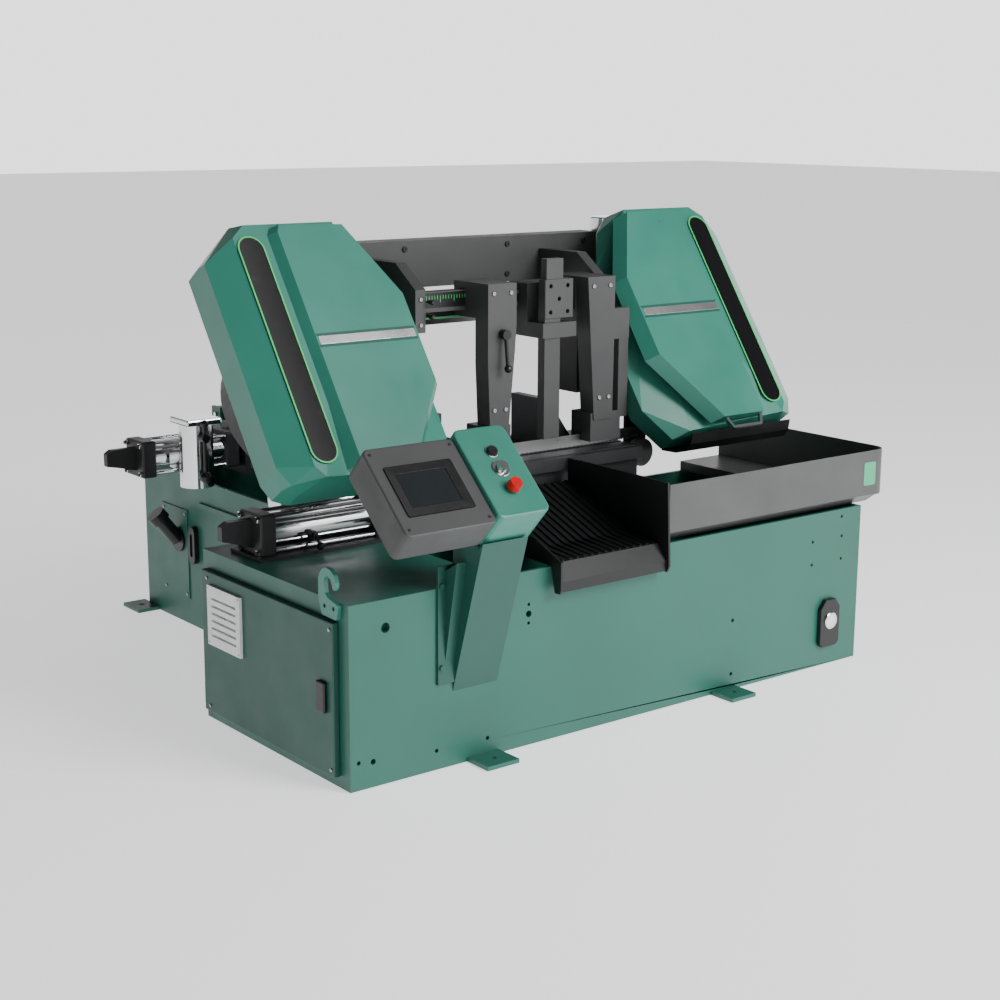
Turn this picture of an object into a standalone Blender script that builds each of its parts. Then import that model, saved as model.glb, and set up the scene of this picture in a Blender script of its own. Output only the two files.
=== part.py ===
"""Horizontal band saw: a tilted saw bow on two columns, vise, feed carriage, chute and control arm.

Metres, +Z up, origin on the floor under the middle of the cut. X runs along the blade,
-Y is the operator and discharge side, +Y is the infeed side.
"""
import math

import bmesh
import bpy
from mathutils import Matrix, Vector

# ---------------------------------------------------------------- driving dimensions
BED_HALF = 0.975            # half length of the front bed along X
BED_FRONT, BED_REAR = -0.500, 0.2537
BED_TOP = 0.502
SHEET = 0.012               # bed wall thickness
REAR_HALF = 0.568           # half width of the rear (feed) bed
REAR_START, REAR_END = 0.2545, 1.420
REAR_TOP = 0.5185
SHOULDER_TOP = 0.400        # column shoulder height
TABLE_TOP = 0.700           # work table and carriage height
COLUMN_R = 0.059
COLUMN_Y = 0.385
COLUMN_X = (-0.614, 0.655)
COLUMN_TOP = 1.380
TILT = math.radians(35.0)   # the bow leans back by this much
STRAND_Z = 0.725            # middle of the cutting strand
BLADE_W = 0.034
BLADE_T = 0.0011
WHEEL_R = 0.225
WHEEL_X = 0.700
CASING_BACK = -0.0345       # back of a wheel casing, measured off the blade plane
COVER_BACK, COVER_SIDE = 0.075, 0.182
STRIPE_IN, STRIPE_OUT = 0.810, 0.894
HINGE_S, HINGE_H = 0.700, 0.115    # cover hinge axis in bow coordinates
VISE_Y, VISE_Z = 0.090, 0.569
FEED_Y, FEED_Z = 1.050, 0.615
JAW_FIXED_X = 0.130
JAW_OPEN_X = -0.280
BRUSH_X, BRUSH_Z = 0.455, 0.661
GAP = 0.0003                # running gap between neighbouring pieces

TILT_UP = Vector((0.0, math.sin(TILT), math.cos(TILT)))
TILT_OUT = Vector((0.0, -math.cos(TILT), math.sin(TILT)))


# ---------------------------------------------------------------- materials
COLOURS = {
    "green_light": ((0.100, 0.370, 0.300), 0.0, 0.42),
    "green_dark": ((0.016, 0.150, 0.112), 0.0, 0.45),
    "grey_paint": ((0.190, 0.190, 0.190), 0.1, 0.50),
    "black_paint": ((0.016, 0.017, 0.017), 0.0, 0.45),
    "gloss_black": ((0.008, 0.008, 0.009), 0.0, 0.12),
    "chrome": ((0.800, 0.810, 0.820), 1.0, 0.10),
    "steel": ((0.560, 0.560, 0.560), 1.0, 0.32),
    "cast_iron": ((0.110, 0.112, 0.115), 0.6, 0.50),
    "white_plastic": ((0.800, 0.810, 0.800), 0.0, 0.45),
    "red_plastic": ((0.720, 0.012, 0.012), 0.0, 0.30),
    "black_plastic": ((0.020, 0.020, 0.021), 0.0, 0.40),
    "bristle": ((0.300, 0.300, 0.300), 0.3, 0.60),
}


def material(name):
    """One Principled material per colour, made on first use."""
    found = bpy.data.materials.get(name)
    if found:
        return found
    colour, metallic, rough = COLOURS[name]
    made = bpy.data.materials.new(name)
    made.use_nodes = True
    shader = made.node_tree.nodes["Principled BSDF"]
    shader.inputs["Base Color"].default_value = (*colour, 1.0)
    shader.inputs["Metallic"].default_value = metallic
    shader.inputs["Roughness"].default_value = rough
    made.diffuse_color = (*colour, 1.0)
    return made


# ---------------------------------------------------------------- solids
def tilt_point(x, s, h):
    """A point of the bow: s up along the lean, h outward from the blade plane."""
    return Vector((x, 0.0, STRAND_Z)) + TILT_UP * s + TILT_OUT * h


def as_object(name, bm, mat):
    """Turn a bmesh into a named object with one material."""
    bmesh.ops.recalc_face_normals(bm, faces=bm.faces)
    mesh = bpy.data.meshes.new(name)
    bm.to_mesh(mesh)
    bm.free()
    mesh.materials.append(material(mat))
    ob = bpy.data.objects.new(name, mesh)
    bpy.context.scene.collection.objects.link(ob)
    return ob


def box(x, y, z, name="piece", mat="steel"):
    """Axis-aligned block between the given pairs."""
    bm = bmesh.new()
    bmesh.ops.create_cube(bm, size=1.0)
    size = Vector((x[1] - x[0], y[1] - y[0], z[1] - z[0]))
    middle = Vector(((x[0] + x[1]) / 2, (y[0] + y[1]) / 2, (z[0] + z[1]) / 2))
    bmesh.ops.scale(bm, vec=size, verts=bm.verts)
    bmesh.ops.translate(bm, vec=middle, verts=bm.verts)
    return as_object(name, bm, mat)


def rounded(ob, width, segments=2, limit=30.0):
    """Round the edges of one solid piece."""
    mod = ob.modifiers.new("bevel", "BEVEL")
    mod.width = width
    mod.segments = segments
    mod.limit_method = "ANGLE"
    mod.angle_limit = math.radians(limit)
    return baked(ob)


def baked(ob):
    """Apply every modifier of one object."""
    depsgraph = bpy.context.evaluated_depsgraph_get()
    mesh = bpy.data.meshes.new_from_object(ob.evaluated_get(depsgraph))
    ob.modifiers.clear()
    ob.data = mesh
    return ob


def rod(start, end, radius, name="piece", mat="steel", segments=32, tip=None):
    """Cylinder (or cone, with a tip radius) between two points."""
    start, end = Vector(start), Vector(end)
    along = end - start
    bm = bmesh.new()
    last = radius if tip is None else tip
    bmesh.ops.create_cone(bm, cap_ends=True, segments=segments, radius1=radius,
                          radius2=last, depth=along.length)
    turn = along.to_track_quat("Z", "Y").to_matrix().to_4x4()
    place = Matrix.Translation((start + end) / 2) @ turn
    bmesh.ops.transform(bm, matrix=place, verts=bm.verts)
    return as_object(name, bm, mat)


def ball(centre, radius, name="piece", mat="steel"):
    """Faceted ball."""
    bm = bmesh.new()
    bmesh.ops.create_uvsphere(bm, u_segments=14, v_segments=9, radius=radius)
    bmesh.ops.translate(bm, vec=Vector(centre), verts=bm.verts)
    return as_object(name, bm, mat)


def hull(points, name="piece", mat="steel"):
    """Convex solid around a set of points."""
    bm = bmesh.new()
    for point in points:
        bm.verts.new(point)
    made = bmesh.ops.convex_hull(bm, input=bm.verts)
    loose = [v for v in made["geom_interior"] if isinstance(v, bmesh.types.BMVert)]
    bmesh.ops.delete(bm, geom=loose, context="VERTS")
    bmesh.ops.dissolve_limit(bm, angle_limit=math.radians(0.5), verts=bm.verts, edges=bm.edges)
    return as_object(name, bm, mat)


def prism(outline, low, high, place, name="piece", mat="steel"):
    """Flat outline (a, b) swept from low to high; place(a, b, t) gives the point."""
    bm = bmesh.new()
    near = [bm.verts.new(place(a, b, low)) for a, b in outline]
    far = [bm.verts.new(place(a, b, high)) for a, b in outline]
    bm.faces.new(near)
    bm.faces.new(list(reversed(far)))
    count = len(outline)
    for i in range(count):
        j = (i + 1) % count
        bm.faces.new((near[j], near[i], far[i], far[j]))
    return as_object(name, bm, mat)


def along_x(a, b, t):
    """Outline in the YZ plane, swept along X."""
    return Vector((t, a, b))


def along_y(a, b, t):
    """Outline in the XZ plane, swept along Y."""
    return Vector((a, t, b))


def along_z(a, b, t):
    """Outline in the XY plane, swept along Z."""
    return Vector((a, b, t))


def combine(ob, others, operation):
    """Exact boolean of one piece with several others, which are used up."""
    for other in others:
        mod = ob.modifiers.new("join", "BOOLEAN")
        mod.operation = operation
        mod.solver = "EXACT"
        mod.object = other
        baked(ob)
        bpy.data.objects.remove(other)
    return ob


def fuse(ob, *others):
    """Weld pieces into one solid."""
    return combine(ob, others, "UNION")


def carve(ob, *others):
    """Cut pieces out of a solid."""
    return combine(ob, others, "DIFFERENCE")


def named(ob, name, mat, pivot=None):
    """Name a finished piece, give it its one material and set its origin on its axis."""
    ob.name = name
    ob.data.name = name
    ob.data.materials.clear()
    ob.data.materials.append(material(mat))
    for face in ob.data.polygons:
        face.material_index = 0
    bm = bmesh.new()
    bm.from_mesh(ob.data)
    bmesh.ops.remove_doubles(bm, verts=bm.verts, dist=0.00002)
    bmesh.ops.dissolve_limit(bm, angle_limit=math.radians(0.4), verts=bm.verts,
                             edges=bm.edges)
    bm.to_mesh(ob.data)
    bm.free()
    if pivot is not None:
        pivot = Vector(pivot)
        ob.data.transform(Matrix.Translation(-pivot))
        ob.location = pivot
    return ob


def circle(cx, cy, radius, count, start=0.0, sweep=360.0):
    """Points on an arc; a full turn leaves the last point out."""
    steps = count if sweep == 360.0 else count - 1
    points = []
    for i in range(count):
        turn = math.radians(start + sweep * i / steps)
        points.append((cx + radius * math.cos(turn), cy + radius * math.sin(turn)))
    return points


def capsule(cx, low, high, radius, count=9):
    """Stadium outline with its long side along the second axis."""
    top = circle(cx, high - radius, radius, count, 0.0, 180.0)
    bottom = circle(cx, low + radius, radius, count, 180.0, 180.0)
    return top + bottom


# ---------------------------------------------------------------- beds
FRONT_HOLES = (
    (-0.862, 0.426, 0.014), (-0.904, 0.070, 0.008), (-0.949, 0.076, 0.006),
    (-0.700, 0.054, 0.006), (-0.528, 0.052, 0.006), (-0.387, 0.407, 0.005),
    (-0.387, 0.380, 0.010), (-0.387, 0.354, 0.005), (0.885, 0.478, 0.005),
    (0.889, 0.414, 0.005), (0.890, 0.340, 0.005), (0.755, 0.413, 0.005),
    (0.755, 0.339, 0.005), (0.410, 0.220, 0.006), (0.410, 0.050, 0.006),
)


def foot_plate(x, y, z=0.012):
    """Welded levelling foot with its bolt hole."""
    plate = box(x, y, (0.0, z))
    middle = ((x[0] + x[1]) / 2, (y[0] + y[1]) / 2)
    hole = rod((middle[0], middle[1], -0.01), (middle[0], middle[1], 0.03), 0.010, segments=16)
    return carve(plate, hole)


def front_bed():
    """Long chip pan with a pocket for the door at its left end."""
    bed = box((-BED_HALF, BED_HALF), (BED_FRONT, BED_REAR), (0.0, BED_TOP))
    inner_y = (BED_FRONT + SHEET, BED_REAR - SHEET)
    pan = box((-0.500, BED_HALF - SHEET), inner_y, (0.030, BED_TOP + 0.02))
    under_deck = box((-0.800, -0.490), inner_y, (0.030, BED_TOP - SHEET))
    pocket = box((-BED_HALF - 0.01, -0.820), (-0.440, 0.222), (0.045, 0.437))
    carve(bed, pan, under_deck, pocket)
    for x, z, radius in FRONT_HOLES:
        start = (x, BED_FRONT - 0.01, z)
        depth = 0.022 if x > -0.80 else 0.020
        carve(bed, rod(start, (x, BED_FRONT + depth, z), radius, segments=12))
    fuse(bed, foot_plate((-0.598, -0.490), (-0.593, BED_FRONT + 0.002)),
         foot_plate((0.326, 0.425), (-0.593, BED_FRONT + 0.002)))
    bearer = box((-0.420, 0.420), (-0.040, 0.220), (0.029, 0.600))
    carve(bearer, box((-0.400, 0.400), (-0.020, 0.200), (0.020, 0.610)))
    carve(bearer, box((-0.430, -0.390), (0.030, 0.150), (0.530, 0.620)))
    fuse(bed, bearer)
    return named(bed, "front_bed", "green_light")


def rear_bed():
    """Feed bed with column shoulders, rod supports and roller brackets."""
    bed = box((-REAR_HALF, REAR_HALF), (REAR_START, REAR_END), (0.0, REAR_TOP))
    hollow = box((-REAR_HALF + SHEET, REAR_HALF - SHEET),
                 (REAR_START + SHEET, REAR_END - SHEET), (0.030, REAR_TOP + 0.02))
    carve(bed, hollow)
    for side in (-1, 1):
        edges = sorted((side * 0.535, side * 0.600))
        carve(bed, box(edges, (REAR_START - 0.01, 0.480), (SHOULDER_TOP, REAR_TOP + 0.02)))
        block = sorted((side * 0.530, side * 0.725))
        fuse(bed, box(block, (REAR_START, 0.475), (0.0, SHOULDER_TOP)))
    fuse(bed, foot_plate((-0.650, -0.566), (1.340, 1.460)),
         foot_plate((0.566, 0.650), (1.340, 1.460)))
    for y in (0.500, 1.390):
        wall = box((-0.300, 0.300), (y, y + 0.018), (0.029, 0.600))
        fuse(bed, wall)
    for side in (-1, 1):
        for y in (0.300, 1.360):
            plate = sorted((side * 0.300, side * 0.312))
            stand = box(plate, (y - 0.030, y + 0.030), (0.029, 0.697))
            fuse(bed, stand)
            bore = rod((plate[0] - 0.01, y, 0.669), (plate[1] + 0.01, y, 0.669), 0.0083,
                       segments=16)
            carve(bed, bore)
    for x in (-0.200, 0.200):
        for y in (0.500, 1.390):
            carve(bed, rod((x, y - 0.02, 0.560), (x, y + 0.04, 0.560), 0.0202, segments=24))
    cover = box((-REAR_HALF - 0.004, -REAR_HALF + 0.001), (1.110, 1.290), (0.090, 0.400))
    ledge = box((-REAR_HALF - 0.010, -REAR_HALF + 0.001), (0.690, 1.020), (0.428, 0.444))
    fuse(bed, cover, ledge)
    port = rod((-REAR_HALF - 0.02, 1.170, 0.290), (-REAR_HALF + 0.03, 1.170, 0.290), 0.0204,
               segments=24)
    carve(bed, port)
    return named(bed, "rear_bed", "green_light")


def roller(name, y):
    """Feed roller with its shaft ends in the brackets."""
    body = rod((-0.298, y, 0.669), (0.298, y, 0.669), 0.030, segments=40)
    shaft = rod((-0.318, y, 0.669), (0.318, y, 0.669), 0.008, segments=16)
    return named(fuse(body, shaft), name, "chrome", (0.0, y, 0.669))


# ---------------------------------------------------------------- left end
def cabinet_door():
    """Flat door on the left end with a louvre window and a latch hole."""
    door = rounded(box((-0.995, -0.9755), (-0.454, 0.2330), (0.031, 0.450)), 0.003)
    window = box((-1.01, -0.96), (0.012, 0.178), (0.250, 0.406))
    latch_hole = rod((-1.01, -0.405, 0.2425), (-0.96, -0.405, 0.2425), 0.0083, segments=16)
    carve(door, window, latch_hole)
    for z in (0.080, 0.400):
        knuckle = rod((-0.985, 0.2300, z - 0.03), (-0.985, 0.2300, z + 0.03), 0.0095, segments=16)
        fuse(door, knuckle)
    return named(door, "cabinet_door", "green_dark", (-0.985, 0.230, 0.240))


def door_vent():
    """White louvre panel with slots."""
    frame = box((-1.004, -0.9955), (0.004, 0.186), (0.241, 0.415))
    plug = box((-0.997, -0.9780), (0.0125, 0.1775), (0.2505, 0.4055))
    fuse(frame, plug)
    for i in range(6):
        z = 0.268 + 0.0215 * i
        slot = box((-1.02, -0.96), (0.026, 0.164), (z, z + 0.007))
        carve(frame, slot)
    return named(frame, "door_vent", "white_plastic")


def door_latch():
    """Folding paddle latch turning in the door."""
    plate = rounded(box((-1.006, -0.9953), (-0.425, -0.385), (0.200, 0.285)), 0.004)
    pin = rod((-1.000, -0.405, 0.2425), (-0.9630, -0.405, 0.2425), 0.008, segments=16)
    cam = box((-0.9670, -0.9630), (-0.412, -0.398), (0.230, 0.255))
    return named(fuse(plate, pin, cam), "door_latch", "black_plastic", (-1.0, -0.405, 0.2425))


def cabinet_backplate():
    """Mounting plate with control gear inside the pocket."""
    plate = box((-0.8300, -0.8203), (-0.400, 0.180), (0.070, 0.410))
    for y, width, low, high in ((-0.360, 0.10, 0.290, 0.380), (-0.240, 0.16, 0.280, 0.385),
                                (-0.050, 0.10, 0.290, 0.380), (-0.340, 0.20, 0.120, 0.230),
                                (-0.080, 0.14, 0.120, 0.240)):
        fuse(plate, box((-0.900, -0.8290), (y, y + width), (low, high)))
    return named(plate, "cabinet_backplate", "steel")


def lifting_hook():
    """Flat hook at the front left corner, with two bolt holes in its foot."""
    outline = [(-0.395, 0.460), (-0.380, 0.500), (-0.379, 0.552), (-0.385, 0.568),
               (-0.399, 0.583), (-0.417, 0.589), (-0.437, 0.586), (-0.453, 0.575),
               (-0.461, 0.556), (-0.460, 0.543), (-0.454, 0.535), (-0.447, 0.538),
               (-0.445, 0.549), (-0.437, 0.561), (-0.421, 0.568), (-0.409, 0.560),
               (-0.407, 0.551), (-0.411, 0.520), (-0.424, 0.510), (-0.471, 0.498),
               (-0.466, 0.464), (-0.460, 0.458)]
    plate = prism(outline, -0.9875, -0.9755, along_x)
    for y in (-0.408, -0.450):
        carve(plate, rod((-1.000, y, 0.486), (-0.960, y, 0.486), 0.006, segments=14))
    return named(plate, "lifting_hook", "green_light")


# ---------------------------------------------------------------- control arm
PANEL_LOW = Vector((0.0, -0.688, 0.710))
PANEL_HIGH = Vector((0.0, -0.487, 0.897))
PANEL_UP = (PANEL_HIGH - PANEL_LOW).normalized()
PANEL_OUT = Vector((0.0, -PANEL_UP.z, PANEL_UP.y))


def panel_point(a, b, t):
    """a along X, b up the sloping panel, t outward from its face."""
    return Vector((a, 0.0, 0.0)) + PANEL_LOW + PANEL_UP * b + PANEL_OUT * t


def panel_rounded(x, b, t, radius, name, mat):
    """Block with rounded corners lying in the sloping panel."""
    points = []
    for cx, cb, start in ((x[1] - radius, b[1] - radius, 0), (x[0] + radius, b[1] - radius, 90),
                          (x[0] + radius, b[0] + radius, 180), (x[1] - radius, b[0] + radius, 270)):
        points += circle(cx, cb, radius, 5, start, 90.0)
    return prism(points, t[0], t[1], panel_point, name, mat)


def hmi_housing():
    """Grey screen housing with a shallow recess for the screen."""
    body = panel_rounded((-0.923, -0.6405), (0.0, 0.2745), (-0.100, 0.0), 0.018, "h", "grey_paint")
    rounded(body, 0.004)
    recess = panel_rounded((-0.8903, -0.6817), (0.0547, 0.2103), (-0.030, 0.01), 0.006, "r",
                           "grey_paint")
    return named(carve(body, recess), "hmi_housing", "grey_paint")


def touch_screen():
    """Screen unit sunk in its housing."""
    body = panel_rounded((-0.890, -0.682), (0.055, 0.210), (-0.0295, 0.003), 0.006, "s",
                         "black_plastic")
    glass = panel_rounded((-0.868, -0.712), (0.080, 0.185), (0.0022, 0.02), 0.002, "g",
                          "black_plastic")
    return named(carve(body, glass), "touch_screen", "gloss_black")


BUTTON_AT = (-0.556, 0.205)
KNOB_AT = (-0.556, 0.150)
ESTOP_AT = (-0.556, 0.085)


def operator_panel():
    """Green head of the control arm with three device holes."""
    body = panel_rounded((-0.640, -0.470), (0.002, 0.290), (-0.120, 0.012), 0.022, "p",
                         "green_light")
    rounded(body, 0.005)
    for (x, b), radius in ((BUTTON_AT, 0.0113), (KNOB_AT, 0.0083), (ESTOP_AT, 0.0113)):
        hole = rod(panel_point(x, b, -0.050), panel_point(x, b, 0.03), radius, segments=24)
        carve(body, hole)
    return named(body, "operator_panel", "green_light")


def device(name, spot, stem, cap, cap_t, mat):
    """Mushroom, button or knob: a stem in its hole under a wider cap."""
    x, b = spot
    shaft = rod(panel_point(x, b, -0.030), panel_point(x, b, cap_t[0] + 0.001), stem, segments=24)
    head = rod(panel_point(x, b, cap_t[0]), panel_point(x, b, cap_t[1]), cap, segments=32,
               tip=cap * 0.86)
    return named(fuse(shaft, head), name, mat, panel_point(x, b, 0.012))


def control_pedestal():
    """Box arm from the bed front up to the control head."""
    head_back = panel_point(0.0, 0.06, -0.1205)
    outline = [(-0.5003, 0.211), (-0.5003, 0.640), (head_back.y, head_back.z),
               (-0.6080, 0.6205), (-0.6300, 0.640)]
    body = prism(outline, -0.646, -0.497, along_x)
    flange = box((-0.700, -0.640), (-0.508, -0.5003), (0.239, 0.564))
    web = prism([(-0.5003, 0.260), (-0.5003, 0.545), (-0.560, 0.580)], -0.677, -0.640, along_x)
    fuse(body, flange, web)
    for z in (0.285, 0.510):
        fuse(body, rod((-0.689, -0.514, z), (-0.689, -0.507, z), 0.008, segments=6))
    return named(body, "control_pedestal", "green_dark")


# ---------------------------------------------------------------- discharge side
CHUTE = (-0.306, 0.091)


def discharge_chute():
    """Ribbed slide with side walls and a flat lip beyond the bed."""
    t = 0.006
    floor = [(-0.097, 0.620), (-0.379, 0.514), (-0.5035, 0.5048), (-0.532, 0.462),
             (-0.532, 0.434), (-0.538, 0.434), (-0.538, 0.464), (-0.5060, 0.5110),
             (-0.379, 0.520), (-0.097, 0.626)]
    slide = prism(floor, CHUTE[0], CHUTE[1], along_x)
    count = 15
    pitch = (CHUTE[1] - CHUTE[0] - 0.030) / (count - 1)
    rib = [(-0.100, 0.6215), (-0.379, 0.516), (-0.500, 0.5080), (-0.500, 0.514),
           (-0.380, 0.5255), (-0.100, 0.630)]
    for i in range(count):
        x = CHUTE[0] + 0.015 + pitch * i
        fuse(slide, prism(rib, x - 0.004, x + 0.004, along_x))
    tall = [(-0.0955, 0.608), (-0.0955, 0.6955), (-0.255, 0.6955), (-0.5365, 0.692),
            (-0.549, 0.448), (-0.541, 0.431), (-0.520, 0.431), (-0.5030, 0.5040), (-0.379, 0.5075)]
    low = [(-0.0955, 0.608), (-0.0955, 0.650), (-0.436, 0.567), (-0.5460, 0.521),
           (-0.546, 0.440), (-0.541, 0.431), (-0.520, 0.431), (-0.5030, 0.5040), (-0.379, 0.5075)]
    fuse(slide, prism(tall, CHUTE[1] - 0.001, CHUTE[1] + t, along_x),
         prism(low, CHUTE[0] - t, CHUTE[0] + 0.001, along_x))
    return named(slide, "discharge_chute", "black_paint")


def chip_guard():
    """Sheet guard on the right end of the bed, open on top, with a turned-in rim."""
    t = 0.004
    x0, x1, r = 0.130, 1.090, 0.050
    y0, y1 = -0.505, 0.2535
    outer = [(x0, y0)] + circle(x1 - r, y0 + r, r, 6, 270.0, 90.0) + [(x1, y1)]
    inner = [(x1 - t, y1)] + list(reversed(circle(x1 - r, y0 + r, r - t, 6, 270.0, 90.0)))
    inner += [(x0, y0 + t)]
    wall = prism(outer + inner, 0.533, 0.676, along_z)
    front_lip = prism([(y0, 0.533), (-0.462, 0.5023), (-0.420, 0.5023), (-0.420, 0.5063),
                       (-0.4600, 0.5063), (y0 + t, 0.540), (y0 + t * 0.5, 0.560)],
                      x0, x1 - r, along_x)
    fuse(wall, front_lip)
    deck = prism([(0.900, y0 + 0.05), (x1 - 0.001, y0 + 0.05), (x1 - 0.001, y1), (0.900, y1)],
                 0.5303, 0.5343, along_z)
    step = box((0.900, 0.9040), (-0.452, y1), (0.5023, 0.5340))
    corner = prism([(x1 - r - 0.002, y0 + 0.001)] + circle(x1 - r, y0 + r, r - 0.001, 6, 270.0, 90.0)
                   + [(x1 - r - 0.002, y0 + r + 0.003)], 0.5303, 0.5343, along_z)
    fuse(wall, deck, corner, step)
    return named(wall, "chip_guard", "grey_paint")


def work_table():
    """Cast table with the blade slot, tee slot and mounting feet."""
    body = box((-0.420, 0.398), (-0.070, 0.2500), (0.6003, TABLE_TOP))
    front = box((-0.310, 0.398), (-0.0945, -0.069), (0.6600, TABLE_TOP - 0.002))
    slot = box((-0.500, 0.500), (-0.006, 0.006), (0.655, TABLE_TOP + 0.02))
    guide = box((-0.450, 0.060), (0.060, 0.084), (0.580, TABLE_TOP + 0.02))
    under = box((-0.410, 0.380), (-0.045, -0.020), (0.590, 0.640))
    rear_under = box((-0.410, 0.380), (0.020, 0.225), (0.590, 0.645))
    fuse(body, front)
    carve(body, slot, guide, under, rear_under)
    return named(body, "work_table", "cast_iron")


def vise_fixed_jaw():
    """Fixed jaw bolted on the right of the table."""
    face = box((JAW_FIXED_X, JAW_FIXED_X + 0.030), (0.050, 0.235), (0.7003, 0.850))
    foot = box((JAW_FIXED_X + 0.010, 0.260), (0.055, 0.225), (0.7003, 0.722))
    fuse(face, foot)
    for y in (0.065, 0.190):
        web = prism([(0.150, 0.715), (0.240, 0.715), (0.150, 0.840)], y, y + 0.016, along_y)
        fuse(face, web)
    return named(face, "vise_fixed_jaw", "cast_iron")


def vise_moving_jaw():
    """Moving jaw with its key in the table guide."""
    x = JAW_OPEN_X
    face = box((x - 0.030, x), (0.050, 0.235), (0.7003, 0.850))
    foot = box((x - 0.130, x - 0.020), (0.055, 0.225), (0.7003, 0.735))
    key = box((x - 0.120, x - 0.080), (0.0605, 0.0835), (0.560, 0.705))
    nut = box((x - 0.120, x - 0.080), (0.040, 0.140), (0.535, 0.640))
    post = box((x - 0.130, x - 0.105), (0.120, 0.180), (0.730, 0.800))
    fuse(face, foot, key, nut, post)
    for y in (0.065, 0.195):
        web = prism([(x - 0.115, 0.730), (x - 0.020, 0.730), (x - 0.020, 0.840)], y, y + 0.016,
                    along_y)
        fuse(face, web)
    return named(face, "vise_moving_jaw", "cast_iron", (x, 0.090, 0.700))


def cylinder_body(x0, x1, y, z, bore):
    """Air or oil cylinder along X: two square heads, barrel, tie rods, open at x1."""
    half = 0.060
    body = rod((x0 + 0.010, y, z), (x1 - 0.010, y, z), 0.048, segments=36)
    for a in (x0, x1 - 0.050):
        head = rounded(box((a, a + 0.050), (y - half, y + half), (z - half, z + half)), 0.006)
        fuse(body, head)
    for sy in (-1, 1):
        for sz in (-1, 1):
            cy, cz = y + sy * 0.0470, z + sz * 0.0470
            fuse(body, rod((x0 - 0.012, cy, cz), (x1 + 0.008, cy, cz), 0.0058, segments=10))
    carve(body, rod((x0 + 0.040, y, z), (x1 + 0.02, y, z), bore, segments=40))
    return body


def vise_cylinder():
    """Main vise cylinder lying on the left deck, with mounting plate and end lug."""
    body = cylinder_body(-0.914, -0.480, VISE_Y, VISE_Z, 0.0253)
    base = box((-0.930, -0.508), (VISE_Y - 0.085, VISE_Y + 0.085), (0.5023, 0.5124))
    lug = prism([(-1.010, 0.560), (-1.010, 0.600), (-0.990, 0.612), (-0.910, 0.612),
                 (-0.910, 0.527), (-0.960, 0.545)], VISE_Y - 0.012, VISE_Y + 0.012, along_y)
    fuse(body, base, lug)
    socket = rod((-0.743, VISE_Y - 0.070, 0.551), (-0.743, VISE_Y - 0.054, 0.551), 0.0083,
                 segments=16)
    boss = rod((-0.743, VISE_Y - 0.0620, 0.551), (-0.743, VISE_Y - 0.036, 0.551), 0.0125,
               segments=18)
    fuse(body, boss)
    carve(body, socket)
    return named(body, "vise_cylinder", "black_paint")


def vise_rod():
    """Piston rod and the arm that reaches up to the moving jaw."""
    z = VISE_Z
    x = JAW_OPEN_X
    piston = rod((-0.860, VISE_Y, z), (x - 0.1203, VISE_Y, z), 0.0250, segments=32)
    return named(piston, "vise_rod", "chrome", (x, VISE_Y, z))


def vise_valve_lever():
    """Small ball-ended valve lever."""
    y, z = VISE_Y - 0.062, 0.551
    pin = rod((-0.743, y - 0.012, z), (-0.743, y + 0.0075, z), 0.008, segments=16)
    arm = rod((-0.743, y - 0.008, z), (-0.743, y - 0.030, z - 0.022), 0.004, segments=12)
    knob = ball((-0.743, y - 0.033, z - 0.025), 0.012)
    return named(fuse(pin, arm, knob), "vise_valve_lever", "black_plastic", (-0.743, y, z))


# ---------------------------------------------------------------- feed side
def feed_rod(name, x):
    """Ground guide rod between the two cross walls."""
    return named(rod((x, 0.494, 0.560), (x, 1.412, 0.560), 0.020, segments=32), name, "chrome")


def feed_carriage():
    """Carriage on two rods with the fixed feed jaw and the cylinder bracket."""
    y0, y1 = FEED_Y - 0.120, FEED_Y + 0.120
    body = box((-0.290, 0.290), (y0, y1), (0.525, TABLE_TOP))
    carve(body, box((-0.150, 0.150), (y0 - 0.01, y1 + 0.01), (0.500, 0.640)))
    for x in (-0.200, 0.200):
        carve(body, rod((x, y0 - 0.01, 0.560), (x, y1 + 0.01, 0.560), 0.0204, segments=32))
    jaw = box((JAW_FIXED_X, JAW_FIXED_X + 0.030), (y0 + 0.010, y1 - 0.010), (0.699, 0.840))
    block = box((JAW_FIXED_X + 0.029, 0.250), (y0 + 0.040, y1 - 0.040), (0.699, 0.790))
    shelf = box((-0.420, -0.289), (FEED_Y - 0.080, FEED_Y + 0.080), (0.530, 0.548))
    ear = box((-0.420, -0.400), (FEED_Y - 0.080, FEED_Y + 0.080), (0.530, 0.690))
    fuse(body, jaw, block, shelf, ear)
    carve(body, rod((-0.430, FEED_Y, FEED_Z), (-0.390, FEED_Y, FEED_Z), 0.0256, segments=32))
    carve(body, box((-0.300, 0.075), (FEED_Y - 0.050, FEED_Y + 0.050), (0.560, TABLE_TOP + 0.02)))
    return named(body, "feed_carriage", "cast_iron", (0.0, FEED_Y, 0.560))


def feed_moving_jaw():
    """Moving feed jaw driven from the left."""
    x = JAW_OPEN_X
    y0, y1 = FEED_Y - 0.110, FEED_Y + 0.110
    face = box((x + 0.050, x + 0.080), (y0, y1), (0.7003, 0.840))
    foot = box((x - 0.005, x + 0.051), (FEED_Y - 0.090, FEED_Y + 0.090), (0.7003, 0.730))
    drop = box((x - 0.005, x + 0.030), (FEED_Y - 0.040, FEED_Y + 0.040), (0.585, 0.705))
    fuse(face, foot, drop)
    carve(face, rod((x - 0.02, FEED_Y, FEED_Z), (x + 0.0180, FEED_Y, FEED_Z), 0.0252, segments=32))
    return named(face, "feed_moving_jaw", "cast_iron", (x, FEED_Y, FEED_Z))


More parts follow.
